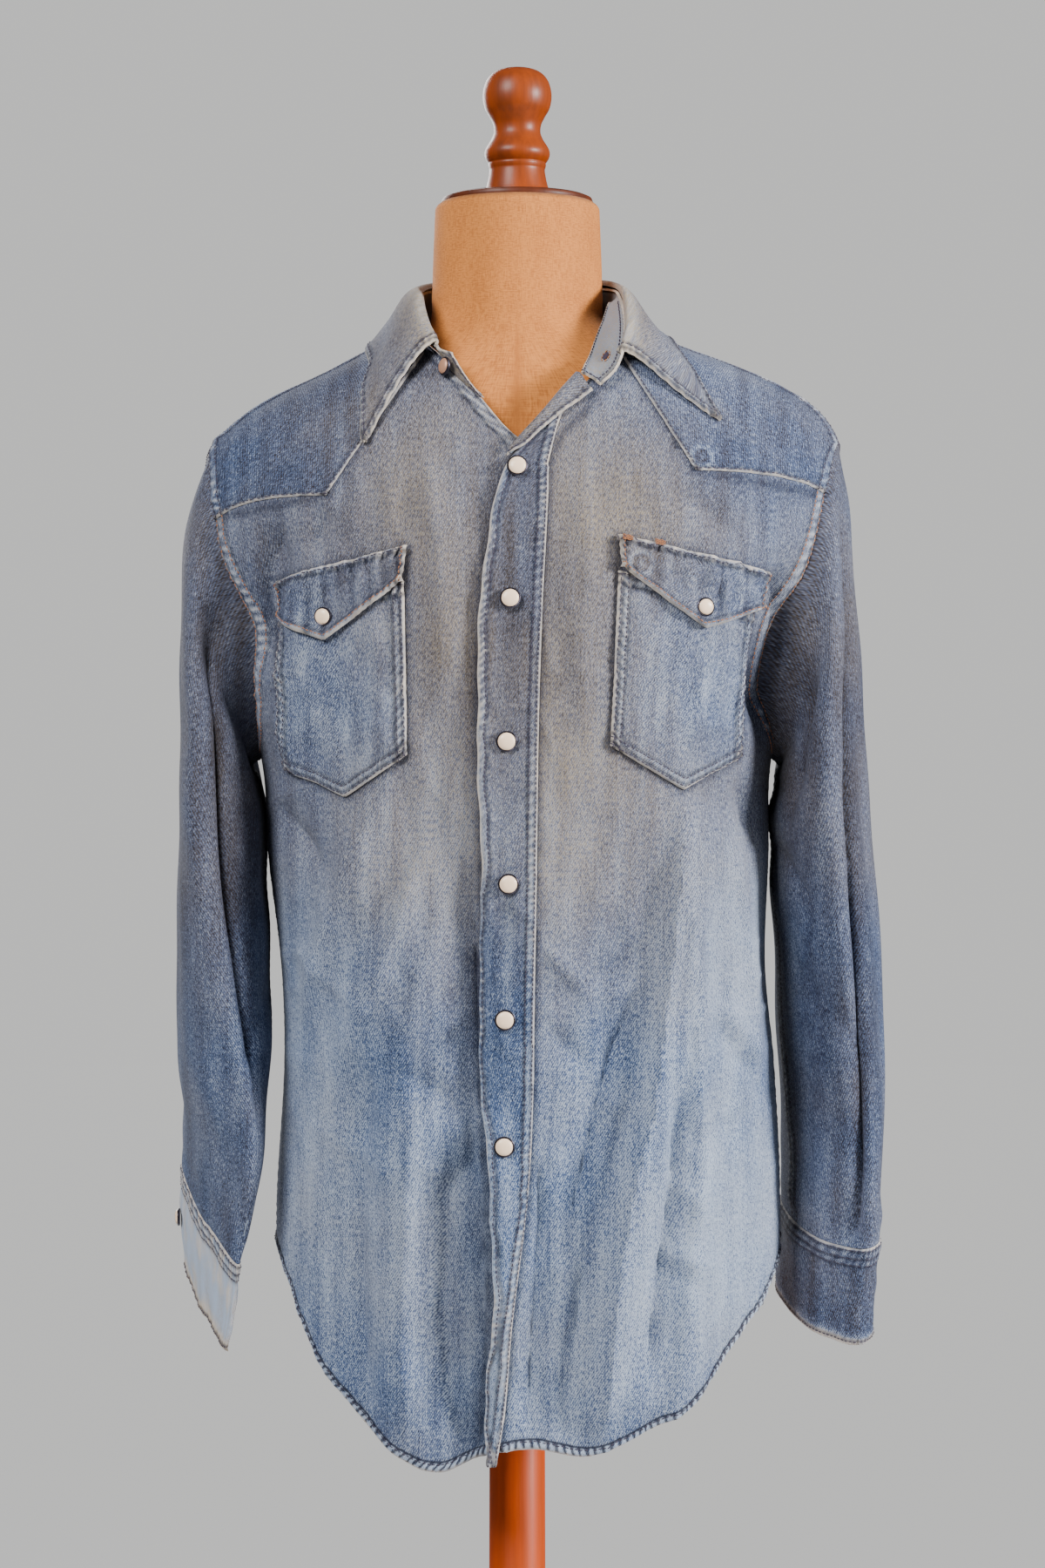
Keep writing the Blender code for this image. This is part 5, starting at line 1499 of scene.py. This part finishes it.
def make_cuff(side):
    sign, rows = SIDE_SIGN[side], CUFFS[side]
    turn = np.linspace(0, 360, 171)
    stations = np.stack([ring_points(row, turn, sign) for row in rows])
    fine = spots(0.072, coarse=0.0022)
    points = loft(stations, (1 - fine) * (len(rows) - 1))
    points[:, -1] = points[:, 0]
    _, _, from_low, from_top = reach(points)
    run = turn[None, :] * CUFF_GIRTH / 360 + 0 * from_low
    shape = 0.0007 * ripple(run, from_low, 0.03, 31 + sign)
    lap = np.exp(-((turn[None, :] - CUFF_LAP) / 1.2) ** 2) + 0 * from_low
    # the cuff on the wearer's left is painted darker as painted shade; the cuff on the wearer's right is
    # painted paler, partly its wear and partly painted light
    worn, shade = 0, (-0.30, 0.10)
    if side == "right":
        worn = 0.50 * (1 + 0.6 * ripple(run * 3, from_low, 0.05, 33))
        shade = (0.62, 0.85 * np.exp(-(from_low / 0.007) ** 2) + 0.25 * ripple(run * 3, from_low, 0.04, 35))
    finish = together(seam_finish(from_low, run, (0.0030,), 0.0012, 0.0006, 0.0004),
                      seam_finish(from_top, run, CUFF_ROWS, 0.0010, 0.0007, 0.0004),
                      (shape - 0.0006 * lap, 0.8 * lap, np.exp(-(from_low / 0.006) ** 2) + worn))
    piece, surface, outward = cloth_piece("cuff_band_" + side, ["cuff_" + side], points, finish, wall=0.0020,
                                          flip=sign < 0, closed=True, shade=shade)
    sew_edges(surface, outward, ("low",), (0.0030,))
    sew_edges(surface, outward, ("high",), CUFF_ROWS)
    return piece


# ------------------------------------------------------------------ snaps and stitches
def lathe(name, profile, centre, axis, segments, materials):
    """Turned mesh about an axis; profile rows are radius, height and material slot of the band above."""
    bm = bmesh.new()
    rings = []
    for radius, height, _ in profile:
        if radius < 1e-6:
            rings.append([bm.verts.new((0, 0, height))])
            continue
        turns = [2 * math.pi * k / segments for k in range(segments)]
        rings.append([bm.verts.new((radius * math.cos(t), radius * math.sin(t), height)) for t in turns])
    for (low, high), (_, _, index) in zip(zip(rings, rings[1:]), profile):
        for k in range(segments):
            onward = (k + 1) % segments
            corners = [low[k % len(low)], low[onward % len(low)], high[onward % len(high)], high[k % len(high)]]
            face = bm.faces.new(list(dict.fromkeys(corners)))
            face.material_index, face.smooth = index, True
    bmesh.ops.recalc_face_normals(bm, faces=bm.faces)
    store = bm.verts.layers.float_vector.new("rest_place")
    for vertex in bm.verts:
        vertex[store] = vertex.co
    turn = Vector(axis).to_track_quat("Z", "Y").to_matrix().to_4x4()
    bmesh.ops.transform(bm, matrix=Matrix.Translation(centre) @ turn, verts=bm.verts)
    mesh = finished_mesh(name, bm)
    mesh.set_sharp_from_angle(angle=math.radians(40))
    return new_object(name, mesh, *materials)


def make_snap(name, node_name, centre, axis, radius, cap="pearl_cap"):
    profile = [
        # radius, height, slot
        (0.0, 0.0, 1), (1.02 * radius, 0.0, 1), (1.08 * radius, 0.0006, 1), (1.08 * radius, 0.0013, 1),
        (1.00 * radius, 0.0018, 1), (0.91 * radius, 0.0016, 1), (0.89 * radius, 0.0022, 0),
        (0.74 * radius, 0.0030, 0), (0.48 * radius, 0.0035, 0), (0.22 * radius, 0.0037, 0), (0.0, 0.0037, 0),
    ]
    hand_over(lathe(name, profile, centre, axis, 40, (cap, "dark_rim")), "snap_cap", node_name)


def front_spot(x, z, lift):
    """Point on the front at a lift, and the way it faces, as vectors."""
    near, far = on_front(x, z, lift), on_front(x, z, lift + 0.01)
    return Vector(near), Vector(far - near).normalized()


def make_snaps():
    radius = sizes().snap_radius
    small = radius * 0.9
    for index, (x, z) in enumerate(SNAPS, 1):
        make_snap(f"snap_cap_{index}", f"snap_{index}", *front_spot(x, z, LAYER * 2 + 0.0022), radius)
    for side, (x, z) in FLAP_SNAPS.items():
        make_snap("flap_snap_cap_" + side, "flap_snap_" + side, *front_spot(x, z, LAYER * 3 + 0.0028), small)
    for side, rows in CUFFS.items():
        spot = ring_points(rows[1], np.array([158.0, 162.0, 166.0]), SIDE_SIGN[side])
        along = spot[2] - spot[0]
        out = Vector((along[1], -along[0], 0)).normalized() * SIDE_SIGN[side]
        make_snap("cuff_snap_cap_" + side, "cuff_snap_" + side, Vector(spot[1]) + out * 0.0016, out, small)
    make_snap("collar_snap_cap", "collar_button", Vector((-0.0495, -0.0965, 1.3890)),
              Vector((-0.82, -0.56, 0.12)).normalized(), small, "worn_brass")


def make_stitches(thread):
    """All the stitches of one thread, as short rounded bars that lie on the cloth."""
    centre, ahead, facing = (np.concatenate(parts) for parts in zip(*STITCHES[thread]))
    side = unit(np.cross(facing, ahead))
    facing = unit(np.cross(ahead, side))
    half, wide = sizes().stitch_pitch * 0.42, sizes().stitch_width / 2
    # share of the half length, of the width and of the height at each section of a stitch
    shape = [(-1.0, 0.35, -0.9), (-0.6, 1.0, 0.15), (0.0, 1.0, 0.55), (0.6, 1.0, 0.15), (1.0, 0.35, -0.9)]
    points, faces = [], []
    for reach_share, width_share, height_share in shape:
        for across, up in ((-1.0, -0.6), (-0.7, 0.6), (0.7, 0.6), (1.0, -0.6)):
            points.append(centre + ahead * (reach_share * half) + side * (across * wide * width_share)
                          + facing * (wide * (height_share + up * width_share)))
    for section in range(len(shape) - 1):
        for k in range(3):
            a = section * 4 + k
            faces.append((a, a + 4, a + 5, a + 1))
    points = np.stack(points, 1)
    count, per = points.shape[:2]
    starts = (np.arange(count) * per)[:, None, None]
    corners = (np.array(faces)[None] + starts).reshape(-1, 4)
    mesh = bpy.data.meshes.new("stitches_" + thread)
    mesh.from_pydata(points.reshape(-1, 3).tolist(), [], corners.tolist())
    mesh.shade_smooth()
    look = "rust_thread" if thread == "rust" else "seam_thread"
    hand_over(new_object("stitches_" + thread, mesh, look), "denim")


# ------------------------------------------------------------------ form and stand
def make_form():
    turn = np.linspace(0, 360, 181)
    low, high, rows = FORM[-1][0], FORM[0][0], 80
    z = np.concatenate([np.linspace(low, NECKLINE_Z, rows)[:-1], np.linspace(NECKLINE_Z, high, rows)])
    points = oval(FORM, turn[None, :], z[:, None])
    rounding = 1 - 0.065 * np.clip((z - 1.5110) / 0.0050, 0, 1)[:, None] ** 2
    points = points * np.stack([rounding, rounding, np.ones_like(rounding)], -1)
    centre_seam = np.exp(-(points[..., 0] / 0.0011) ** 2) * ease(0.0, -0.02, points[..., 1])
    height = -0.0008 * centre_seam * ease(1.425, 1.405, z)[:, None]
    mesh = grid_mesh("form_cover", *points.shape[:2])
    put_attribute(mesh, "seam", centre_seam * ease(1.430, 1.405, z)[:, None])
    soil = ease(1.5115, 1.5165, z)[:, None] * (0.75 + 0.25 * ripple(points[..., 0], points[..., 1], 0.03, 71))
    put_attribute(mesh, "soiled", np.clip(soil, 0, 1))
    outward = normals_of(points, closed=True)
    points = points + outward * height[..., None]
    points[:, -1] = points[:, 0]
    lay_grid(mesh, points, (turn[None, :] / 360 * 0.9 + 0 * z[:, None], z[:, None] + 0 * turn))
    bm = bmesh.new()
    bm.from_mesh(mesh)
    bmesh.ops.remove_doubles(bm, verts=bm.verts, dist=MERGE)
    bmesh.ops.holes_fill(bm, edges=bm.edges)
    for face in bm.faces:
        face.smooth = True
    bmesh.ops.recalc_face_normals(bm, faces=bm.faces)
    bm.to_mesh(mesh)
    bm.free()
    mesh.set_sharp_from_angle(angle=math.radians(50))
    hand_over(new_object("form_cover", mesh, "linen_weave"), "linen", "form_torso")


def smooth_profile(rows, count):
    """Fine profile through rows of radius and height."""
    stations = np.array([[row] for row in rows], float)
    fine = loft(stations, np.linspace(0, len(rows) - 1, count))[:, 0]
    return [(max(radius, 0.0), height) for radius, height in fine]


def turned_wood(name, node_name, rows, segments, slot, varnish):
    """Wood turned about the pole's line, from rows of radius and height."""
    profile = [(radius, height, 0) for radius, height in rows]
    hand_over(lathe(name, profile, (0, 0, 0), (0, 0, 1), segments, (varnish,)), slot, node_name)


def make_stand():
    top = FORM[0][0]
    foot = top + 0.0056
    cap = [(radius, top + rise) for radius, rise in CAP]
    finial = [(radius, foot + rise) for radius, rise in FINIAL] + [(0.0, FINIAL_TOP)]
    turned_wood("neck_block_cap", "neck_cap", cap, 96, "dark_wood", "lid_varnish")
    turned_wood("turned_finial", "finial", [(0.0, foot)] + smooth_profile(finial, 150), 72, "dark_wood",
                "cap_varnish")
    turned_wood("stand_pole", "pole", POLE, 64, "pole_wood", "pole_varnish")
    turned_wood("stand_base", "base", BASE, 160, "pole_wood", "pole_varnish")


# ------------------------------------------------------------------ stage
def make_stage():
    stage = bpy.context.scene.shirt_stage
    sky, sky_strength = (0.93, 0.96, 1.0, 1.0), 0.12
    camera_x, lens, sensor = 0.00375, 86.4, 36.0
    new_object("studio_floor", grid_mesh("studio_floor", 2, 2, half=12.0), "studio_floor")
    lights = [
        # name, place, size, power, aim height
        ("key", (2.7, -1.25, 1.9), 0.7, stage.key_power, 1.1),
        ("fill", (-1.7, -2.4, 3.0), 1.4, stage.fill_power, 1.1),
        ("behind", (-1.2, 3.0, 2.3), 1.8, stage.behind_power, 1.0),
    ]
    for name, place, size, power, aim in lights:
        data = bpy.data.lights.new(name, "AREA")
        data.size, data.energy = size, power
        light = new_object(name, data)
        light.location = place
        light.rotation_euler = (Vector((0, 0, aim)) - Vector(place)).to_track_quat("-Z", "Y").to_euler()
    world = bpy.data.worlds.new("studio")
    world.use_nodes = True
    tree = world.node_tree
    soft = tree.nodes["Background"]
    soft.inputs["Color"].default_value = sky
    soft.inputs["Strength"].default_value = sky_strength
    seen = node(tree, "ShaderNodeBackground", {"Color": (*stage.floor, 1.0), "Strength": GLOW})
    mix = node(tree, "ShaderNodeMixShader", {0: node(tree, "ShaderNodeLightPath").outputs["Is Camera Ray"],
                                             1: soft.outputs[0], 2: seen.outputs[0]})
    tree.links.new(mix.outputs[0], tree.nodes["World Output"].inputs["Surface"])
    bpy.context.scene.world = world
    camera = new_object("camera", bpy.data.cameras.new("camera"))
    camera.location = (camera_x, -stage.camera_distance, stage.camera_height)
    camera.rotation_euler = (math.pi / 2, 0, 0)
    camera.data.lens, camera.data.sensor_width = lens, sensor
    bpy.context.scene.camera = camera


# ------------------------------------------------------------------ operators
class ShirtOperator:
    bl_options = {"REGISTER", "UNDO"}


class SHIRT_OT_materials(ShirtOperator, bpy.types.Operator):
    """Makes the materials of the shirt, the form and the stage"""

    bl_idname = "shirt.materials"
    bl_label = "Materials"

    def execute(self, context):
        make_materials()
        return {"FINISHED"}


class SHIRT_OT_fronts(ShirtOperator, bpy.types.Operator):
    """Builds the two fronts with their folds, armholes and shirt-tail hems"""

    bl_idname = "shirt.fronts"
    bl_label = "Fronts"

    def execute(self, context):
        for side, area in (("right", 0.174), ("left", 0.164)):
            piece = make_front(side)
        return {"FINISHED"}


class SHIRT_OT_backs(ShirtOperator, bpy.types.Operator):
    """Builds the back and its pointed yoke"""

    bl_idname = "shirt.backs"
    bl_label = "Back and yoke"

    def execute(self, context):
        make_back()
        make_back_yoke()
        return {"FINISHED"}


class SHIRT_OT_yokes(ShirtOperator, bpy.types.Operator):
    """Lays the pointed yokes on the fronts"""

    bl_idname = "shirt.yokes"
    bl_label = "Front yokes"

    def execute(self, context):
        for side in ("right", "left"):
            make_front_yoke(side)
        return {"FINISHED"}


class SHIRT_OT_placket(ShirtOperator, bpy.types.Operator):
    """Lays the front placket, whose top turns back at the opening"""

    bl_idname = "shirt.placket"
    bl_label = "Placket"

    def execute(self, context):
        make_placket()
        make_turned_edge()
        return {"FINISHED"}


class SHIRT_OT_pockets(ShirtOperator, bpy.types.Operator):
    """Lays the chest pockets and their pointed flaps"""

    bl_idname = "shirt.pockets"
    bl_label = "Pockets and flaps"

    def execute(self, context):
        for seed, side in enumerate(("right", "left")):
            # the pocket on the wearer's left is painted a little paler than the other, as painted light
            pocket = make_patch("pocket_patch_" + side, "pocket_" + side, POCKETS[side], LAYER + 0.0008, 0.0022,
                                (0.02 + 0.03 * seed, -0.10), (0.0032, 0.0088), 40 + seed)
            flap = make_patch("flap_patch_" + side, "flap_" + side, FLAPS[side], 2 * LAYER + 0.0024, 0.0026,
                              (-0.07, -0.12), (0.0046,), 50 + seed)
        make_tacks()
        return {"FINISHED"}


class SHIRT_OT_collar(ShirtOperator, bpy.types.Operator):
    """Builds the collar band and the leaf that folds down over it"""

    bl_idname = "shirt.collar"
    bl_label = "Collar"

    def execute(self, context):
        make_collar_stand()
        make_collar_leaf()
        return {"FINISHED"}


class SHIRT_OT_sleeves(ShirtOperator, bpy.types.Operator):
    """Builds the sleeves and their cuffs"""

    bl_idname = "shirt.sleeves"
    bl_label = "Sleeves and cuffs"

    def execute(self, context):
        for side, area, cuff_area in (("right", 0.165, 0.016), ("left", 0.172, 0.0187)):
            make_sleeve(side)
            make_cuff(side)
        return {"FINISHED"}


class SHIRT_OT_snaps(ShirtOperator, bpy.types.Operator):
    """Sets the pearly snaps on the placket, flaps, cuffs and collar band"""

    bl_idname = "shirt.snaps"
    bl_label = "Snaps"

    def execute(self, context):
        make_snaps()
        return {"FINISHED"}


class SHIRT_OT_stitches(ShirtOperator, bpy.types.Operator):
    """Sews the rows of topstitching that the panels have noted"""

    bl_idname = "shirt.stitches"
    bl_label = "Stitches"

    def execute(self, context):
        for thread in STITCHES:
            make_stitches(thread)
        return {"FINISHED"}


class SHIRT_OT_form(ShirtOperator, bpy.types.Operator):
    """Builds the linen form"""

    bl_idname = "shirt.form"
    bl_label = "Form"

    def execute(self, context):
        make_form()
        return {"FINISHED"}


class SHIRT_OT_stand(ShirtOperator, bpy.types.Operator):
    """Turns the neck cap, finial, pole and base"""

    bl_idname = "shirt.stand"
    bl_label = "Stand"

    def execute(self, context):
        make_stand()
        return {"FINISHED"}


class SHIRT_OT_stage(ShirtOperator, bpy.types.Operator):
    """Sets the floor, lights and camera"""

    bl_idname = "shirt.stage"
    bl_label = "Stage"

    def execute(self, context):
        make_stage()
        return {"FINISHED"}


OPERATORS = (SHIRT_OT_materials, SHIRT_OT_fronts, SHIRT_OT_backs, SHIRT_OT_yokes, SHIRT_OT_placket,
             SHIRT_OT_pockets, SHIRT_OT_collar, SHIRT_OT_sleeves, SHIRT_OT_snaps, SHIRT_OT_stitches,
             SHIRT_OT_form, SHIRT_OT_stand, SHIRT_OT_stage)


class SHIRT_PT_panel(bpy.types.Panel):
    bl_label = "Denim Shirt"
    bl_idname = "SHIRT_PT_panel"
    bl_space_type = "VIEW_3D"
    bl_region_type = "UI"
    bl_category = "Shirt"

    def draw(self, context):
        for group in SETTINGS:
            box, settings = self.layout.box(), getattr(context.scene, group)
            for name in settings.bl_rna.properties.keys():
                if name not in ("rna_type", "name"):
                    box.prop(settings, name)
        for operator in OPERATORS:
            self.layout.operator(operator.bl_idname)


SETTINGS = {"shirt_sizes": ClothSizes, "shirt_colours": ShirtColours, "stand_colours": StandColours,
            "shirt_stage": StageSettings}


def register():
    for item in (*SETTINGS.values(), *OPERATORS, SHIRT_PT_panel):
        bpy.utils.register_class(item)
    for name, group in SETTINGS.items():
        setattr(bpy.types.Scene, name, bpy.props.PointerProperty(type=group))


def unregister():
    for name in SETTINGS:
        delattr(bpy.types.Scene, name)
    for item in reversed((*SETTINGS.values(), *OPERATORS, SHIRT_PT_panel)):
        bpy.utils.unregister_class(item)


def main():
    register()
    for operator in OPERATORS:
        group, name = operator.bl_idname.split(".")
        getattr(getattr(bpy.ops, group), name)()


if __name__ == "__main__":
    main()
